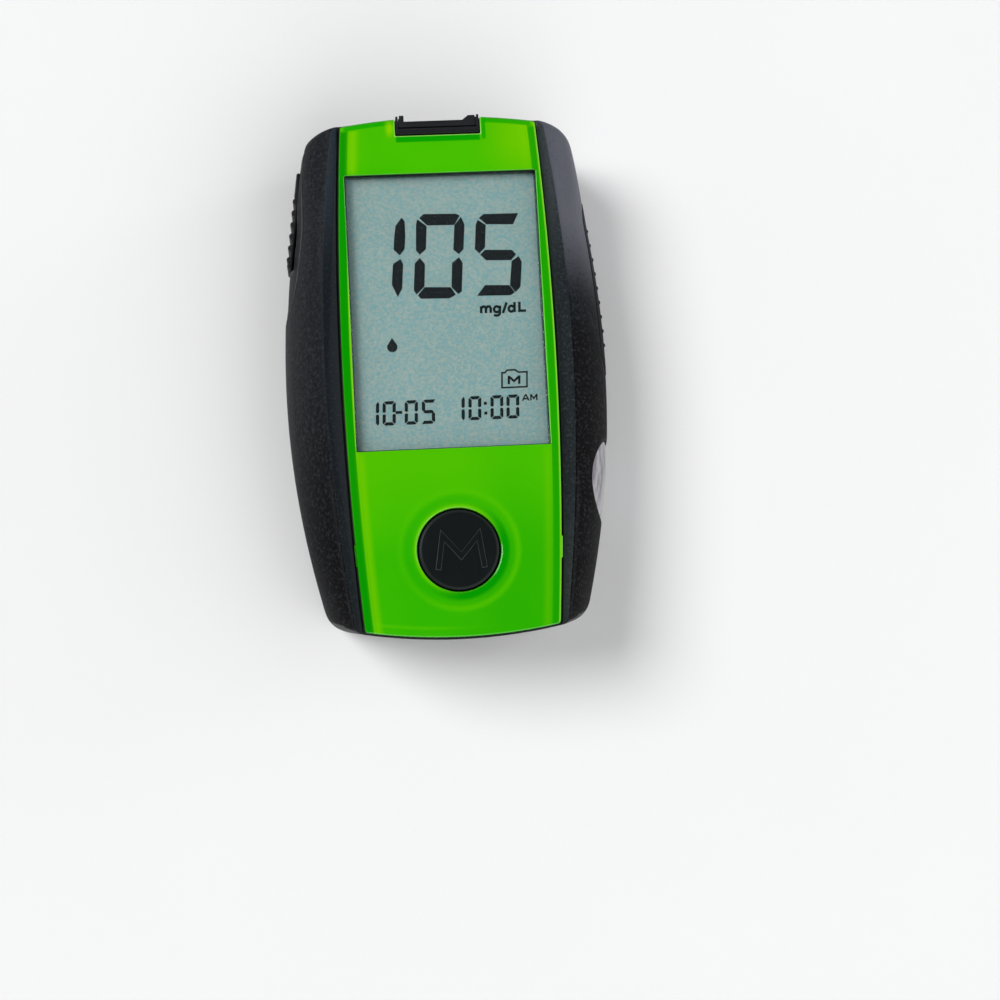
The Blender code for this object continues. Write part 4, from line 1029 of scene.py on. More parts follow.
def panel_outline(grow, fine=4):
    top = [(45.0, 19.4), (38.0, 19.4), (30.0, 19.2), (22.0, 18.6), (18.0, 17.6), (15.2, 15.6), (13.6, 13.2)]
    low = [(13.2, 11.4), (13.9, 9.0), (15.8, 6.6), (19.0, 4.9), (24.0, 4.2), (34.0, 3.9), (45.0, 3.9)]
    points = [Vector(p) for p in top + low]
    centre = Vector((30.0, 11.6))
    grown = []
    for p in points:
        d = Vector((0.0, 1.0 if p.y > centre.y else -1.0)) if p.x > 19.5 else (p - Vector((20.0, 11.5))).normalized()
        q = p + d * grow
        if p.x > 44.9:
            q.x += grow
        grown.append(q)
    smooth = []
    for i in range(len(grown) - 1):                           # a curve through the points
        p0, p1, p2, p3 = (grown[max(0, min(len(grown) - 1, i + k))] for k in (-1, 0, 1, 2))
        for j in range(fine):
            k = j / fine
            smooth.append(0.5 * ((2 * p1) + (p2 - p0) * k + (2 * p0 - 5 * p1 + 4 * p2 - p3) * k * k
                                 + (3 * p1 - p0 - 3 * p2 + p3) * k ** 3))
    smooth.append(grown[-1])
    return [(p.x, p.y) for p in smooth]


def side_frame(sign, y, z):
    """Local axes on a side wall: X along the wall, Y out of it, Z up."""
    slope = belly_slope(y)
    along = Vector((-slope, -sign, 0.0)).normalized()
    out = Vector((sign, -slope, 0.0)).normalized()
    m = Matrix.Identity(4)
    for row in range(3):
        m[row][0], m[row][1], m[row][2] = along[row], out[row], (0.0, 0.0, 1.0)[row]
    m.translation = Vector((sign * half_belly(y), y, z)) * MM
    return m


SLIDE = side_frame(-1, SLIDER_Y, SLIDER_Z)
SIDE = side_frame(1, SIDE_KEY_Y, SIDE_KEY_Z)


def wall_depth(u, w):
    """How far the shell's surface lies behind the side key's plane, u along the wall and w up from its middle."""
    y = SIDE_KEY_Y + u * SIDE[1][0]
    level = level_at(SIDE_KEY_Z + w)
    return min(0.0, (1 - level[1]) * half_belly(y) + level[1] * half_ridge(y) - level[2] - SIDE[0][3] / MM - u * SIDE[0][0])


def oval(name, profile, steps=96, a=SIDE_KEY_A, b=SIDE_KEY_B):
    """Rows of long half-axis, height, and the share of the wall's own curve that is added to it."""
    bm = bmesh.new()
    rows = []
    for r, h, follow in profile:
        row = []
        for i in range(steps):
            u, w = r * math.cos(2 * math.pi * i / steps), r * b / a * math.sin(2 * math.pi * i / steps)
            row.append(bm.verts.new((u, h + follow * wall_depth(u, w), w)))
        rows.append(row)
    for one, two in zip(rows, rows[1:]):
        for i in range(steps):
            j = (i + 1) % steps
            bm.faces.new((one[i], one[j], two[j], two[i]))
    bm.faces.new(rows[0])
    bm.faces.new(list(reversed(rows[-1])))
    return to_object(name, bm, SIDE)


def key_well():
    return oval("side_key_well", [(SIDE_KEY_A + GAP, 6.0, 0.0), (SIDE_KEY_A + GAP, -6.9, 0.0)])


def pad_recess():
    hole = rounded_rect(0.9 - GAP, 33.9 + GAP, 6.6 - GAP, 16.4 + GAP, 4.9, n=10)
    recess = shell_body("pad_recess", -2.0, 4.0, 19.5, sides=32, bends=4, ends=8)
    keep(recess, side_prism("pad_hole", hole, 16.0, 40.0))
    return cut(recess, shell_body("pad_floor", 1.0, 3.0, 20.5, sides=32, bends=4, ends=8))


def seat_cutter():
    edge = [(half_plate(y) + 0.35, y) for y in [i * 2.0 for i in range(-26, 27)]]
    outline = edge + [(-x, y) for x, y in reversed(edge)]
    rings = [(SEAT_Z, outline), (RIDGE_Z - 0.22, outline), (RIDGE_Z - 0.1, offset(outline, 0.05)),
             (RIDGE_Z + 0.01, offset(outline, 0.2)), (28.0, offset(outline, 0.2))]
    return loft("seat_cut", rings)


def outer_wall(p):
    """Whether a point lies on the shell's outer surface rather than inside."""
    level = level_at(p.z)
    k = share(level[1], p.y)
    half = (1 - k) * half_belly(p.y) + k * half_ridge(p.y) - level[2]
    return abs(p.x) > half - 0.35 or p.y > 44.0 or p.y < -46.4


# upper shell
front = outer_shell("upper_shell", PARTING_Z + GAP / 2, RIDGE_Z, 0.16, 0.22)
cut(front, rough_body("front_hollow", WALL, 10.0, ROOF_Z), seat_cutter(),
    box("display_cut", -LCD_X - GAP, LCD_X + GAP, LCD_Y0 - GAP, LCD_Y1 + GAP, 20.5, 25.0),
    cyl("key_bore", 0, KEY_Y, 20.5, 25.0, KEY_R + 0.35, steps=72))
join(front, box("port_rim", -7.62, 7.62, 44.5, 47.9, 22.8, 25.85, round_off=0.12))
cut(front, box("port_cut", -7.2, 7.2, 45.6, 50.0, 10.3, 28.0), box("port_way", -7.2, 7.2, 44.0, 46.5, 10.3, 22.3))
for x, y in SCREWS:
    join(front, cyl("boss", x, y, PARTING_Z + GAP / 2, 23.0, 2.7, steps=32))
cut(front, *[cyl("pilot", x, y, 10.0, 19.6, 1.3, steps=24) for x, y in SCREWS])
cut(front, side_prism("panel_hole", panel_outline(GAP), -40.0, -20.7), pad_recess(), key_well())
join(front, box("spring_stop", -15.5, -12.6, 40.3, 41.6, 12.1, 22.8))


def front_slots(p, n):
    if n.z > 0.97 and p.z > 24.3 and abs(p.x) > half_plate(p.y) + 0.2:
        return 1
    if p.z > 22.2 and abs(p.x) < 8.6 and p.y > 44.3:
        return 2
    if not outer_wall(p) and p.z < 24.0:
        return 3
    return 0


finish_piece(front, SHELL, "root", ["front_case"], soften=0.10, where=outer_wall,
             extra=(STRIP, PORT, INNER), pick=front_slots)

# lower shell
rear = outer_shell("lower_shell", 0.0, PARTING_Z - GAP / 2, 0.0, 0.16)
cut(rear, rough_body("rear_hollow", WALL, WALL, 13.5))
cut(rear, box("rear_port", -7.2, 7.2, 45.6, 50.0, 10.3, 28.0), box("rear_way", -7.2, 7.2, 44.0, 46.5, 10.3, 22.3))
for x, y in SCREWS:
    join(rear, cyl("rear_boss", x, y, 1.6, PARTING_Z - GAP / 2, 3.2, steps=32))
cut(rear, *[cyl("screw_hole", x, y, 4.0, 14.0, 1.4, steps=24) for x, y in SCREWS])
cut(rear, *[cyl("head_hole", x, y, -2.0, 5.2, 2.3, steps=40) for x, y in SCREWS])
join(rear, box("bay_outer", -BAY_X - 1.2, BAY_X + 1.2, BAY_Y0 - 1.2, BAY_Y1 + 1.2, 1.0, BAY_TOP + 1.2))
join(rear, box("bay_ledge", -DOOR_X - 1.6, DOOR_X + 1.6, DOOR_Y0 - 0.6, DOOR_Y1 + 1.6, 1.2, 3.4))
cut(rear, box("bay_inner", -BAY_X, BAY_X, BAY_Y0, BAY_Y1, -2.0, BAY_TOP))
cut(rear, profiled("door_seat", [rounded_rect(-DOOR_X - GAP, DOOR_X + GAP, DOOR_Y0 - GAP, DOOR_Y1 + GAP, 1.5)],
                   -2.0, 1.8, top=0.0, bottom=0.0))
for side in (-1, 1):
    x0, x1 = sorted((side * 9.4, side * 11.7))
    cut(rear, box("tab_pocket", x0, x1, -45.05, -42.0, 1.5, 5.6))
cut(rear, box("latch_pocket", -4.6, 4.6, 8.0, 12.4, 1.5, 6.0))
cut(rear, turned("thumb_recess", [(0.0, 1.0), (3.2, 0.93), (4.3, 0.72), (4.8, 0.4), (5.0, 0.0), (5.2, -0.4), (5.2, -2.0), (0.0, -2.0)],
                 y=14.6))
cut(rear, side_prism("rear_panel_hole", panel_outline(GAP), -40.0, -20.7), pad_recess(), key_well())


def rear_outside(p):
    return outer_wall(p) or p.z < 0.05


def rear_slots(p, n):
    return 0 if outer_wall(p) or p.z < 1.9 else 1


finish_piece(rear, SHELL, "root", ["rear_case"], soften=0.12, where=rear_outside,
             extra=(INNER,), pick=rear_slots)

# left side panel
panel = shell_body("side_panel", PANEL_SET_BACK, 2.5, 20.6, step=0.6)
keep(panel, side_prism("panel_edge", panel_outline(0.0), -40.0, -21.0))
cut(panel, shell_body("panel_inside", 3.0, 1.0, 21.5, step=2.0, sides=32, bends=4, ends=8))
lip = shell_body("panel_lip", WALL + GAP, 2.6, 20.5, step=2.0, sides=32, bends=4, ends=8)
keep(lip, side_prism("lip_edge", panel_outline(1.1), -40.0, -21.0))
cut(lip, shell_body("lip_inside", 3.0, 1.2, 21.4, step=2.0, sides=32, bends=4, ends=8))
join(panel, lip)
cut(panel, box("slider_recess", THUMB_U[0] - 0.35, THUMB_U[1] + SLIDER_TRAVEL + 0.35, -1.3, 4.0, -4.45, 4.45, SLIDE),
    box("neck_slot", -2.4, 2.0 + SLIDER_TRAVEL + 0.4, -9.0, 2.0, -1.9, 1.9, SLIDE))
finish_piece(panel, PANEL, "root", ["left_side_panel"], soften=0.24, where=outer_wall)

# ejector slide
slider = box("ejector_thumb_slide", THUMB_U[0], THUMB_U[1], -0.95, 0.02, -4.1, 4.1, SLIDE, round_off=0.34, segments=4)
cut(slider, box("rib_field", -6.5, 6.5, -0.5, 2.0, -5.0, 5.0, SLIDE))
for i in range(6):
    rib = cyl("rib", 0, 0, -4.0, 4.0, 0.6, steps=28, round_off=0.25,
              matrix=SLIDE @ Matrix.Translation(Vector((-5.6 + 2.24 * i, -0.38, 0.0)) * MM))
    join(slider, rib)
join(slider, box("slider_neck", -2.0, 2.0, -4.6, -0.6, -1.5, 1.5, SLIDE))
finish_piece(slider, SLIDE_BLACK, "ejector", ["ejector_slider"], soften=0.06)

# spring of the ejector: a round wire wound five times
def wound(name, origin, length, radius, wire, turns, per_turn=26, section=10):
    bm = bmesh.new()
    rows = []
    count = int(turns * per_turn)
    for i in range(count + 1):
        k = i / count
        a = 2 * math.pi * turns * k
        rise = length * (k - 0.55 * math.sin(2 * math.pi * k) * 0.08)
        centre = Vector((origin[0] + radius * math.cos(a), origin[1] + rise, origin[2] + radius * math.sin(a)))
        out = Vector((math.cos(a), 0.0, math.sin(a)))
        along = Vector((-math.sin(a), length / (2 * math.pi * turns * radius), math.cos(a))).normalized()
        third = along.cross(out)
        rows.append([bm.verts.new(centre + wire * (math.cos(b) * out + math.sin(b) * third))
                     for b in (2 * math.pi * j / section for j in range(section))])
    for one, two in zip(rows, rows[1:]):
        for j in range(section):
            bm.faces.new((one[j], one[(j + 1) % section], two[(j + 1) % section], two[j]))
    bm.faces.new(rows[0][::-1])
    bm.faces.new(rows[-1])
    bmesh.ops.recalc_face_normals(bm, faces=bm.faces)
    return to_object(name, bm)


spring = wound("ejector_return_spring", (-14.0, 31.5, 13.3), 8.3, 1.1, 0.18, 5)
finish_piece(spring, STEEL, "root", ["ejector_spring"])
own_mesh(spring)

# right grip pad
pad = shell_body("grip_pad", -0.12, 4.2, 19.3, step=0.6)
keep(pad, side_prism("pad_edge", rounded_rect(0.9, 33.9, 6.6, 16.4, 4.6, n=12), 16.0, 40.0))
cut(pad, shell_body("pad_inside", 0.75, 3.2, 20.3, step=1.2))
for i in range(9):
    y = 6.4 + 2.75 * i
    join(pad, cyl("pad_rib", 0, 0, -2.6, 2.6, 0.5, steps=20, round_off=0.2,
                  matrix=side_frame(1, y, 10.2) @ Matrix.Translation(Vector((0.0, -0.30, 0.0)) * MM)))
finish_piece(pad, RUBBER, "root", ["right_grip_pad"], soften=0.12, where=lambda p: outer_wall(p))

# side key
dome = [(SIDE_KEY_A * k, -0.9 + 0.9 * (1 - k ** 3) ** (1 / 3), 1.0)
        for k in (0.02, 0.1, 0.2, 0.3, 0.4, 0.5, 0.6, 0.68, 0.76, 0.83, 0.89, 0.93, 0.96, 0.98, 0.993, 1.0)]
chrome = oval("side_key_dome", dome + [(SIDE_KEY_A, -5.6, 0.0), (4.0, -5.6, 0.0), (4.0, -6.1, 0.0)])
join(chrome, box("side_key_wings", -8.9, 8.9, -4.4, -3.3, -3.4, 2.0, SIDE),
     box("side_key_stem", -1.5, 1.5, -6.6, -5.9, -1.5, 1.5, SIDE))
finish_piece(chrome, CHROME, "side_key", ["side_key"])


# ---------------------------------------------------------------- fascia
def plate_outline():
    def top(x):
        return PLATE_TOP - PLATE_CROWN * (x / 17.9) ** 2
    def bottom(x):
        return PLATE_BOTTOM - 1.55 * (x / 17.4) ** 2
    points = [(p.x, p.y) for p in ring(half_plate, top, bottom, 0.6, 0.6, sides=64, bends=4, ends=44)]
    outline, placed = [], False
    for x, y in points:
        if abs(y - TAB_Y) < 2.25 and abs(x) > 15:
            if abs(y - TAB_Y) < 2.25 and not any(abs(px - x) < 1.0 and abs(py - TAB_Y) < 2.1 for px, py in outline):
                s = 1 if x > 0 else -1
                for dy, out in ((-2.0, 0.0), (-1.9, 0.22), (1.9, 0.22), (2.0, 0.0)):
                    yy = TAB_Y + s * dy
                    outline.append((s * (half_plate(yy) + out), yy))
            continue
        if y > 44.0 and abs(x) <= NOTCH_HALF + 0.3:
            if not placed:
                placed = True
                r = 0.25
                outline += [(NOTCH_HALF, top(NOTCH_HALF)), (NOTCH_HALF, NOTCH_Y + r), (NOTCH_HALF - r * 0.3, NOTCH_Y + r * 0.3),
                            (NOTCH_HALF - r, NOTCH_Y), (-NOTCH_HALF + r, NOTCH_Y), (-NOTCH_HALF + r * 0.3, NOTCH_Y + r * 0.3),
                            (-NOTCH_HALF, NOTCH_Y + r), (-NOTCH_HALF, top(NOTCH_HALF))]
            continue
        outline.append((x, y))
    return outline


DISH_R = 10.9
fascia = profiled("fascia", [
    plate_outline(),
    rounded_rect(-WINDOW_HALF[0], WINDOW_HALF[0], WINDOW_Y - WINDOW_HALF[1], WINDOW_Y + WINDOW_HALF[1], 0.3, n=3),
    circle(0, KEY_Y, KEY_R + GAP, 96),
], PLATE_Z[0], PLATE_Z[1], top=0.22, bottom=0.1, steps=4)
dish = turned("dish", [(0.0, 27.0), (11.4, 27.0), (11.4, 26.02), (DISH_R, 26.0), (10.5, 25.975), (10.0, 25.92),
                       (9.4, 25.84), (8.8, 25.76), (8.2, 25.69), (7.9, 25.66), (7.72, 25.63), (7.62, 25.56),
                       (7.58, 25.4), (0.0, 25.4)], steps=96, y=KEY_Y)
cut(fascia, dish)
finish_piece(fascia, FASCIA, "root", ["face_plate"])

pane = profiled("window_pane", [rounded_rect(
    -WINDOW_HALF[0] + 0.06, WINDOW_HALF[0] - 0.06, WINDOW_Y - WINDOW_HALF[1] + 0.06, WINDOW_Y + WINDOW_HALF[1] - 0.06,
    0.3, n=3)], 24.4, 25.75, top=0.06, bottom=0.06)
finish_piece(pane, PANE, "root", ["display_window"], extra=(PRINT,),
             pick=lambda p, n: 1 if abs(n.z) < 0.9 else 0)

glass = profiled("display_glass", [rounded_rect(-LCD_X, LCD_X, LCD_Y0, LCD_Y1, 0.4, n=3)], 21.6, 23.8, top=0.08,
                 bottom=0.05)
finish_piece(glass, LCD_FACE, "root", ["lcd_glass"])


# ---------------------------------------------------------------- what the display shows
INK_Z = (23.76, 23.83)
SLANT = 0.049


def bar(points, height=INK_Z):
    """One flat segment from its corner points."""
    bm = bmesh.new()
    if signed_area(points) < 0:
        points = points[::-1]
    low = [bm.verts.new((x, y, height[0])) for x, y in points]
    high = [bm.verts.new((x, y, height[1])) for x, y in points]
    n = len(points)
    for i in range(n):
        j = (i + 1) % n
        bm.faces.new((low[i], low[j], high[j], high[i]))
    bm.faces.new(low[::-1])
    bm.faces.new(high)
    return bm


def digit(text, x, y, w, h, s, gap, slant=SLANT):
    """Seven-segment digit: lower left corner, width, height, stroke, gap between segments."""
    m = h / 2
    c = s * 0.42                                              # cut outer corners
    g = gap * 0.7
    shapes = {
        "a": [(c, h - c * 0.6), (c + 0.6 * s, h), (w - c - 0.45 * s, h), (w - c, h - c * 0.6), (w - s - g * 0.4, h - s), (s + g * 0.4, h - s)],
        "d": [(c, c * 0.6), (c + 0.6 * s, 0), (w - c - 0.45 * s, 0), (w - c, c * 0.6), (w - s - g * 0.4, s), (s + g * 0.4, s)],
        "g": [(s * 0.55, m), (s * 1.15, m + s / 2), (w - s * 1.15, m + s / 2), (w - s * 0.55, m), (w - s * 1.15, m - s / 2), (s * 1.15, m - s / 2)],
        "f": [(0, h - s * 0.75), (c * 0.8, h - s * 0.45), (s, h - s * 1.12), (s, m + s * 0.42), (s * 0.5, m + g * 0.8), (0, m + s * 0.5)],
        "e": [(0, s * 0.75), (c * 0.8, s * 0.45), (s, s * 1.12), (s, m - s * 0.42), (s * 0.5, m - g * 0.8), (0, m - s * 0.5)],
        "b": [(w, h - s * 0.75), (w - c * 0.8, h - s * 0.45), (w - s, h - s * 1.12), (w - s, m + s * 0.42), (w - s * 0.5, m + g * 0.8), (w, m + s * 0.5)],
        "c": [(w, s * 0.75), (w - c * 0.8, s * 0.45), (w - s, s * 1.12), (w - s, m - s * 0.42), (w - s * 0.5, m - g * 0.8), (w, m - s * 0.5)],
    }
    if text == "5":                                           # open ends are cut square on a slant
        shapes["a"] = [(c, h - c * 0.6), (c + 0.6 * s, h), (w, h), (w - s * 0.55, h - s), (s + g * 0.4, h - s)]
        shapes["d"] = [(0, 0), (w - c - 0.45 * s, 0), (w - c, c * 0.6), (w - s - g * 0.4, s), (s * 0.75, s)]
        shapes["g"] = [(s * 0.35, m), (s * 1.05, m + s / 2), (w - s * 0.95, m + s / 2), (w - s * 0.35, m), (w - s * 1.05, m - s / 2), (s * 1.05, m - s / 2)]
    lit = {"0": "abcdef", "1": "bc", "5": "afgcd"}[text]
    out = []
    for key in lit:
        pts = shapes[key]
        if text == "1":                                       # tapered ends
            pts = ([(w, h - s * 0.75), (w - s * 0.42, h), (w - s, h - s * 0.9), (w - s, m + s * 0.42), (w - s * 0.45, m + g * 0.8), (w, m + s * 0.5)]
                   if key == "b" else
                   [(w, s * 0.75), (w - s * 0.42, 0), (w - s, s * 0.9), (w - s, m - s * 0.42), (w - s * 0.45, m - g * 0.8), (w, m - s * 0.5)])
        out.append([(x + px + slant * py, y + py) for px, py in pts])
    return out


def stroke(points, width, closed=False):
    """A line of even width as one outline, mitred at its corners."""
    pts = [Vector(p) for p in points]
    n = len(pts)
    left, right = [], []
    for i in range(n):
        a = pts[(i - 1) % n] if closed or i else None
        b = pts[(i + 1) % n] if closed or i < n - 1 else None
        d1 = (pts[i] - a).normalized() if a is not None else (b - pts[i]).normalized()
        d2 = (b - pts[i]).normalized() if b is not None else d1
        n1, n2 = Vector((-d1.y, d1.x)), Vector((-d2.y, d2.x))
        m = n1 + n2
        m = m / max(m.length_squared, 0.6) * 2.0 if m.length > 1e-6 else n1
        left.append(pts[i] + m * width / 2)
        right.append(pts[i] - m * width / 2)
    if closed:
        return [left, right]
    return [[tuple(p) for p in left + right[::-1]]]


def arc(cx, cy, rx, ry, a0, a1, n=12):
    return [(cx + rx * math.cos(math.radians(a0 + (a1 - a0) * i / n)),
             cy + ry * math.sin(math.radians(a0 + (a1 - a0) * i / n))) for i in range(n + 1)]


def merge_bars(name, shapes, height=INK_Z):
    """One object from flat shapes that may touch each other."""
    bm = bmesh.new()
    for shape in shapes:
        part = bar([tuple(p) for p in shape], height)
        mesh = bpy.data.meshes.new("part")
        part.to_mesh(mesh)
        part.free()
        bm.from_mesh(mesh)
        bpy.data.meshes.remove(mesh)
    return to_object(name, bm)


READING = (
    ((-7.30, 29.36), (-6.77, 28.52), (-6.80, 25.73), (-7.06, 23.40), (-7.97, 22.28), (-9.07, 23.36), (-8.82, 25.80), (-8.51, 27.78)),
    ((-7.89, 21.62), (-7.43, 20.63), (-7.83, 16.14), (-8.69, 14.55), (-9.70, 16.90), (-9.30, 20.70)),
    ((-4.13, 29.11), (-3.28, 29.83), (2.63, 29.69), (3.31, 29.31), (2.30, 27.60), (-2.71, 27.67)),
    ((-4.47, 28.90), (-2.83, 27.56), (-3.15, 23.25), (-4.34, 22.25), (-4.99, 23.10), (-4.75, 27.96)),
    ((3.52, 29.07), (4.12, 27.64), (3.70, 22.99), (2.81, 22.11), (1.83, 22.95), (2.24, 27.49)),
    ((-4.36, 21.67), (-3.47, 20.48), (-3.77, 16.31), (-5.28, 14.87), (-5.75, 15.70), (-5.33, 20.66)),
    ((2.78, 21.53), (3.42, 20.45), (2.98, 15.13), (2.32, 14.69), (1.14, 16.01), (1.48, 20.53)),
    ((-3.74, 16.20), (1.01, 16.01), (1.85, 14.58), (0.69, 13.94), (-4.52, 14.07), (-5.05, 14.74)),
    ((6.80, 28.71), (7.65, 29.43), (14.05, 29.38), (13.02, 27.31), (8.12, 27.49)),
    ((6.57, 28.38), (8.00, 27.38), (7.65, 23.19), (6.58, 22.07), (5.76, 22.91), (6.17, 27.57)),
    ((6.68, 21.84), (7.63, 22.73), (12.54, 22.54), (13.28, 21.70), (12.32, 20.62), (7.76, 20.75)),
    ((13.72, 21.33), (14.23, 20.26), (13.76, 15.62), (12.78, 14.62), (11.83, 15.94), (12.37, 20.45)),
    ((7.28, 16.16), (11.72, 15.98), (12.67, 14.62), (11.84, 14.08), (5.71, 14.21)),
)
finish_piece(merge_bars("display_reading", READING), INK, "root")

small = []
for ch, x in (("1", -14.15), ("0", -12.6), ("0", -8.6), ("5", -5.5)):
    small += digit(ch, x, -9.0, 2.4 if ch != "1" else 0.95, 4.45, 0.60, 0.20)
small.append([(-10.15, -6.95), (-8.95, -6.95), (-8.92, -6.42), (-10.12, -6.42)])
for ch, x in (("1", 1.35), ("0", 2.95), ("0", 6.95), ("0", 9.85)):
    small += digit(ch, x, -8.68, 2.35 if ch != "1" else 0.95, 4.4, 0.60, 0.20)
for yy in (-7.75, -5.95):
    small.append([(5.88, yy), (6.43, yy), (6.46, yy + 0.55), (5.91, yy + 0.55)])
finish_piece(merge_bars("display_date_and_time", small), INK, "root")


def letters(shapes, x, y, wide, high, width, slant=0.05):
    """Strokes on a unit grid, placed, scaled and thickened."""
    out = []
    for line in shapes:
        out += stroke([(x + px * wide + slant * py * high, y + py * high) for px, py in line], width)
    return out


UNIT = [
    [(0.06, 0.0), (0.06, 0.72)], [(0.06, 0.5), (0.2, 0.68), (0.34, 0.66), (0.42, 0.48), (0.42, 0.0)],
    [(0.42, 0.5), (0.56, 0.68), (0.70, 0.66), (0.78, 0.48), (0.78, 0.0)],
    arc(1.23, 0.35, 0.20, 0.30, 25, 335, 14), [(1.47, 0.72), (1.47, -0.10), (1.38, -0.26), (1.20, -0.30), (1.02, -0.24)],
    [(1.70, -0.08), (1.98, 1.02)],
    arc(2.34, 0.35, 0.20, 0.30, 25, 335, 14), [(2.58, 1.02), (2.58, 0.0)],
    [(2.95, 1.02), (2.95, 0.10), (3.45, 0.10)],
]
finish_piece(merge_bars("display_unit", letters(UNIT, 6.15, 10.95, 2.42, 1.80, 0.47)), INK, "root")

AM = [
    [(0.0, 0.0), (0.40, 1.02)], [(0.40, 1.02), (0.80, 0.0)], [(0.18, 0.30), (0.62, 0.30)],
    [(1.05, 0.0), (1.05, 1.0)], [(1.05, 0.95), (1.42, 0.30), (1.79, 0.95)], [(1.79, 1.0), (1.79, 0.0)],
]
finish_piece(merge_bars("display_am", letters(AM, 12.95, -5.5, 1.45, 1.15, 0.27)), INK, "root")

ICON = [
    ([(-0.05, 0.0), (4.55, 0.0), (4.55, 2.75), (2.95, 2.75), (2.45, 3.2), (0.95, 3.2), (0.55, 2.75), (0.0, 2.75), (0.0, -0.14)], 0.30),
    ([(1.25, 0.60), (1.25, 2.12)], 0.42), ([(1.25, 2.0), (2.2, 1.15), (3.15, 2.0)], 0.42), ([(3.15, 2.12), (3.15, 0.60)], 0.42),
]
icon = []
for line, width in ICON:
    icon += stroke([(9.35 + px + 0.05 * py, -2.95 + py) for px, py in line], width)
finish_piece(merge_bars("display_memory_mark", icon), INK, "root")

drop = [(-10.15, 7.05)] + [(-10.15 + 0.95 * math.sin(math.radians(a)), 5.35 - 0.95 * math.cos(math.radians(a)))
                           for a in range(118, -119, -14)]
finish_piece(merge_bars("display_drop_mark", [drop]), INK, "root")


# ---------------------------------------------------------------- round key
key = turned("round_key", [
    (0.0, 25.72), (3.0, 25.72), (6.0, 25.72), (6.62, 25.73), (6.86, 25.70), (7.05, 25.61), (7.18, 25.44), (KEY_R, 25.20),
    (KEY_R, 24.0), (KEY_R, 22.0), (8.4, 22.0), (8.4, 20.9), (5.9, 20.9), (5.9, 24.2), (1.6, 24.2), (1.6, 19.5), (0.0, 19.5)],
    steps=96, y=KEY_Y)
finish_piece(key, KEY, "main_button", ["main_button"], sharp=30)


def mark_outline():
    """The outline of the raised mark on the key: two splayed legs and a V between them."""
    w = 1.02
    left_foot, left_top = Vector((-3.92, -3.50)), Vector((-2.88, 2.62))
    dip = Vector((0.33, -1.20))
    right_top, right_foot = Vector((3.62, 2.55)), Vector((4.42, -3.42))
    path = [left_foot, left_top, dip, right_top, right_foot]
    return stroke(path, w)[0]


mark = mark_outline()
mark = [(x * 1.0 + 0.0, y + KEY_Y) for x, y in mark]
raised = profiled("round_key_mark", [mark], 25.62, 25.93, top=0.15, bottom=0.0, steps=3)
finish_piece(raised, MARK, "main_button", extra=(MARK_EDGE_WEAR_AND_HIGHLIGHT,), pick=lambda p, n: 1 if n.z < 0.93 else 0)

# ---------------------------------------------------------------- strip port
port = box("strip_mouth", -6.95, 6.95, 45.85, 48.1, 10.7, 25.7, round_off=0.14, segments=2)
join(port, box("port_sides", -7.14, 7.14, 45.9, 47.5, 22.4, 25.6))
cut(port, profiled("port_mouth", [[(-6.1, 46.95), (4.6, 46.95), (6.0, 48.0), (6.0, 50.0), (-6.1, 50.0)]],
                   16.2, 30.0, top=0.0, bottom=0.0))
cut(port, profiled("port_lead_in", [[(-4.2, 46.2), (4.2, 46.2), (6.1, 48.3), (6.1, 50.0), (-6.1, 50.0), (-6.1, 48.3)]],
                   11.9, 15.2, top=0.0, bottom=0.0))
cut(port, box("port_slot", -4.0, 4.0, 44.0, 47.0, 12.7, 14.3))
cut(port, box("port_right_low", 5.0, 9.0, 47.8, 49.0, 16.2, 27.0))
finish_piece(port, PORT, "root", ["strip_port"], soften=0.08)

# ---------------------------------------------------------------- battery door
door = profiled("door_cover", [rounded_rect(-DOOR_X, DOOR_X, DOOR_Y0, DOOR_Y1, 1.2)], 0.0, 1.5, top=0.1, bottom=0.22)
for side in (-1, 1):
    x0, x1 = sorted((side * 9.8, side * 11.3))
    join(door, box("tab_root", x0, x1, -44.0, -42.9, 1.2, 2.8), box("door_tab", x0, x1, -44.75, -43.4, 1.9, 2.8))
for side in (-1, 1):
    x0, x1 = sorted((side * 4.3, side * 4.8))
    cut(door, box("tongue_slit", x0, x1, 6.4, 14.0, -1.0, 2.4))
join(door, box("latch_hook", -3.6, 3.6, 10.2, 11.4, 1.2, 3.0))
for i in range(4):
    cut(door, cyl("grip_groove", 2.2 - 2.0 * i, -0.25, -6.0, 6.0, 0.65, axis="X", steps=24, round_off=0.2))
finish_piece(door, DOOR, "battery_door", ["battery_door"])


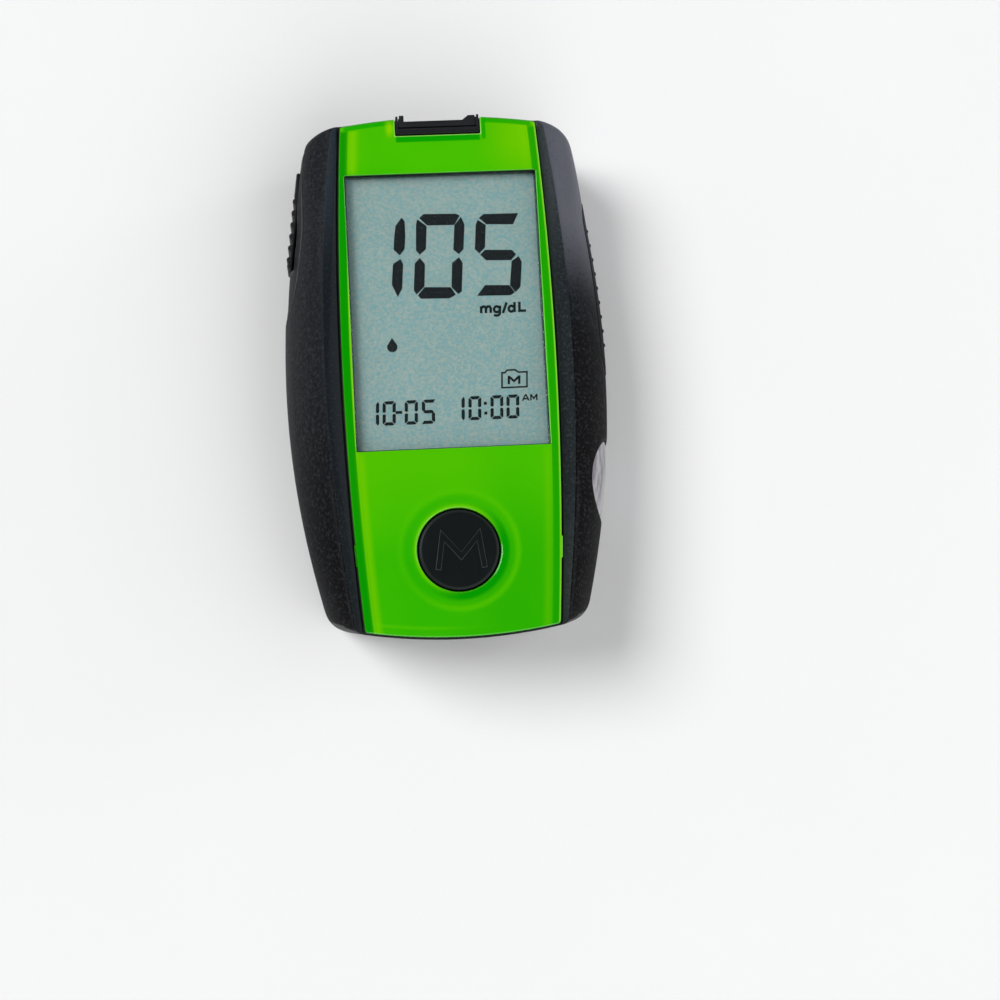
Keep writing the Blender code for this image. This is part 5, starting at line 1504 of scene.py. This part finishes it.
# ---------------------------------------------------------------- pieces kept from the frame
def smoothing():
    """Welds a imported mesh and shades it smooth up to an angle."""
    tree = bpy.data.node_groups.new("smooth_by_angle", "GeometryNodeTree")
    tree.interface.new_socket("Geometry", in_out="INPUT", socket_type="NodeSocketGeometry")
    tree.interface.new_socket("Geometry", in_out="OUTPUT", socket_type="NodeSocketGeometry")
    nodes, links = tree.nodes, tree.links
    start, end = nodes.new("NodeGroupInput"), nodes.new("NodeGroupOutput")
    weld = nodes.new("GeometryNodeMergeByDistance")
    weld.inputs["Distance"].default_value = 2e-6
    clear = nodes.new("GeometryNodeRemoveAttribute")
    clear.inputs["Name"].default_value = "custom_normal"
    faces = nodes.new("GeometryNodeSetShadeSmooth")
    faces.domain = "FACE"
    faces.inputs["Shade Smooth"].default_value = True
    angle = nodes.new("GeometryNodeInputMeshEdgeAngle")
    small = nodes.new("FunctionNodeCompare")
    small.data_type = "FLOAT"
    small.operation = "LESS_THAN"
    small.inputs[1].default_value = math.radians(32)
    edges = nodes.new("GeometryNodeSetShadeSmooth")
    edges.domain = "EDGE"
    links.new(start.outputs[0], clear.inputs["Geometry"])
    links.new(clear.outputs[0], weld.inputs["Geometry"])
    links.new(weld.outputs[0], faces.inputs["Geometry"])
    links.new(faces.outputs[0], edges.inputs["Geometry"])
    links.new(angle.outputs["Unsigned Angle"], small.inputs[0])
    links.new(small.outputs[0], edges.inputs["Shade Smooth"])
    links.new(edges.outputs[0], end.inputs[0])
    return tree


SMOOTHING = smoothing()
KEPT = {
    "lcd_holder": TRAY, "zebra_connector": ZEBRA, "main_switch": CHIP, "main_switch_plunger": NYLON,
    "side_switch": CHIP, "side_switch_plunger": NYLON, "main_pcb": BOARD, "microcontroller": CHIP,
    "crystal": STEEL, "buzzer": CHIP, "strip_connector": NYLON, "strip_contact_1": GOLD, "strip_contact_2": GOLD,
    "strip_contact_3": GOLD, "ejector_arm": NYLON, "battery_1": CELL, "battery_2": CELL,
    "battery_spring_1": STEEL, "battery_spring_2": STEEL, "battery_terminal_1": STEEL, "battery_terminal_2": STEEL,
    "case_screw_1": SCREW, "case_screw_2": SCREW, "case_screw_3": SCREW, "case_screw_4": SCREW,
}
for node, look in KEPT.items():
    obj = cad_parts[node]
    for k in range(len(obj.data.materials)):
        obj.data.materials[k] = look.mat
    mod = obj.modifiers.new("smooth", "NODES")
    mod.node_group = SMOOTHING

# ---------------------------------------------------------------- floor and light
floor_mesh = bpy.data.meshes.new("floor")
inner = [(x * MM, y * MM, 0.0) for x, y in ((-22, -42), (22, -42), (22, 42), (-22, 42))]
outer = [(-3.0, -3.0, 0.0), (3.0, -3.0, 0.0), (3.0, 3.0, 0.0), (-3.0, 3.0, 0.0)]
floor_mesh.from_pydata(inner + outer, [], [(4, 5, 1, 0), (5, 6, 2, 1), (6, 7, 3, 2), (7, 4, 0, 3)])
floor = bpy.data.objects.new("floor", floor_mesh)
floor.location.z = -0.00003
bpy.context.scene.collection.objects.link(floor)
paper = Look("floor_paper", roughness=0.85, specular=0.1)
paper.set(Base_Color=paper.mix(paper.noise(40.0, 3.0, 0.5), (0.895, 0.897, 0.900), (0.915, 0.915, 0.915)))
paper.bump(paper.noise(0.6, 2.0, 0.5), 0.004, 0.3)
out = next(n for n in paper.tree.nodes if n.type == "OUTPUT_MATERIAL")
geometry = paper.tree.nodes.new("ShaderNodeNewGeometry")
see_through = paper.tree.nodes.new("ShaderNodeBsdfTransparent")
one_sided = paper.tree.nodes.new("ShaderNodeMixShader")
paper.tree.links.new(geometry.outputs["Backfacing"], one_sided.inputs[0])
paper.tree.links.new(paper.bsdf.outputs[0], one_sided.inputs[1])
paper.tree.links.new(see_through.outputs[0], one_sided.inputs[2])
paper.tree.links.new(one_sided.outputs[0], out.inputs["Surface"])
floor_mesh.materials.append(paper.mat)

world = bpy.data.worlds.new("studio")
bpy.context.scene.world = world
world.use_nodes = True
sky = world.node_tree
background = next(n for n in sky.nodes if n.type == "BACKGROUND")
direction = sky.nodes.new("ShaderNodeTexCoord")
parts = sky.nodes.new("ShaderNodeSeparateXYZ")
sky.links.new(direction.outputs["Generated"], parts.inputs[0])
fade = sky.nodes.new("ShaderNodeMapRange")
fade.interpolation_type = "SMOOTHSTEP"
fade.inputs["From Min"].default_value = 0.08
fade.inputs["From Max"].default_value = 0.58
sky.links.new(parts.outputs["Z"], fade.inputs["Value"])
tones = sky.nodes.new("ShaderNodeMix")
tones.data_type = "RGBA"
tones.inputs[6].default_value = (0.80, 0.805, 0.81, 1.0)
tones.inputs[7].default_value = (0.018, 0.019, 0.020, 1.0)
sky.links.new(fade.outputs["Result"], tones.inputs[0])
sky.links.new(tones.outputs[2], background.inputs["Color"])
background.inputs["Strength"].default_value = 1.0


def sun(name, towards, strength, angle, colour=(1.0, 1.0, 1.0)):
    """A soft distant lamp; towards is the direction it stands in."""
    data = bpy.data.lights.new(name, "SUN")
    data.energy = strength
    data.angle = math.radians(angle)
    data.color = colour
    obj = bpy.data.objects.new(name, data)
    bpy.context.scene.collection.objects.link(obj)
    obj.rotation_mode = "QUATERNION"
    obj.rotation_quaternion = Vector(towards).to_track_quat("Z", "Y")
    return obj


sun("key", (-0.62, 0.30, 0.80), 2.05, 30.0)
sun("right_soft", (0.62, -0.10, 0.66), 0.75, 50.0)
sun("right_rim", (0.94, 0.30, 0.17), 0.45, 20.0, (0.95, 0.96, 1.0))
sun("front_fill", (0.20, -0.66, 0.58), 1.15, 60.0)
sun("from_below", (0.25, -0.35, -0.9), 1.6, 30.0)

bpy.context.scene.view_settings.view_transform = "Standard"
bpy.context.scene.view_settings.look = "None"
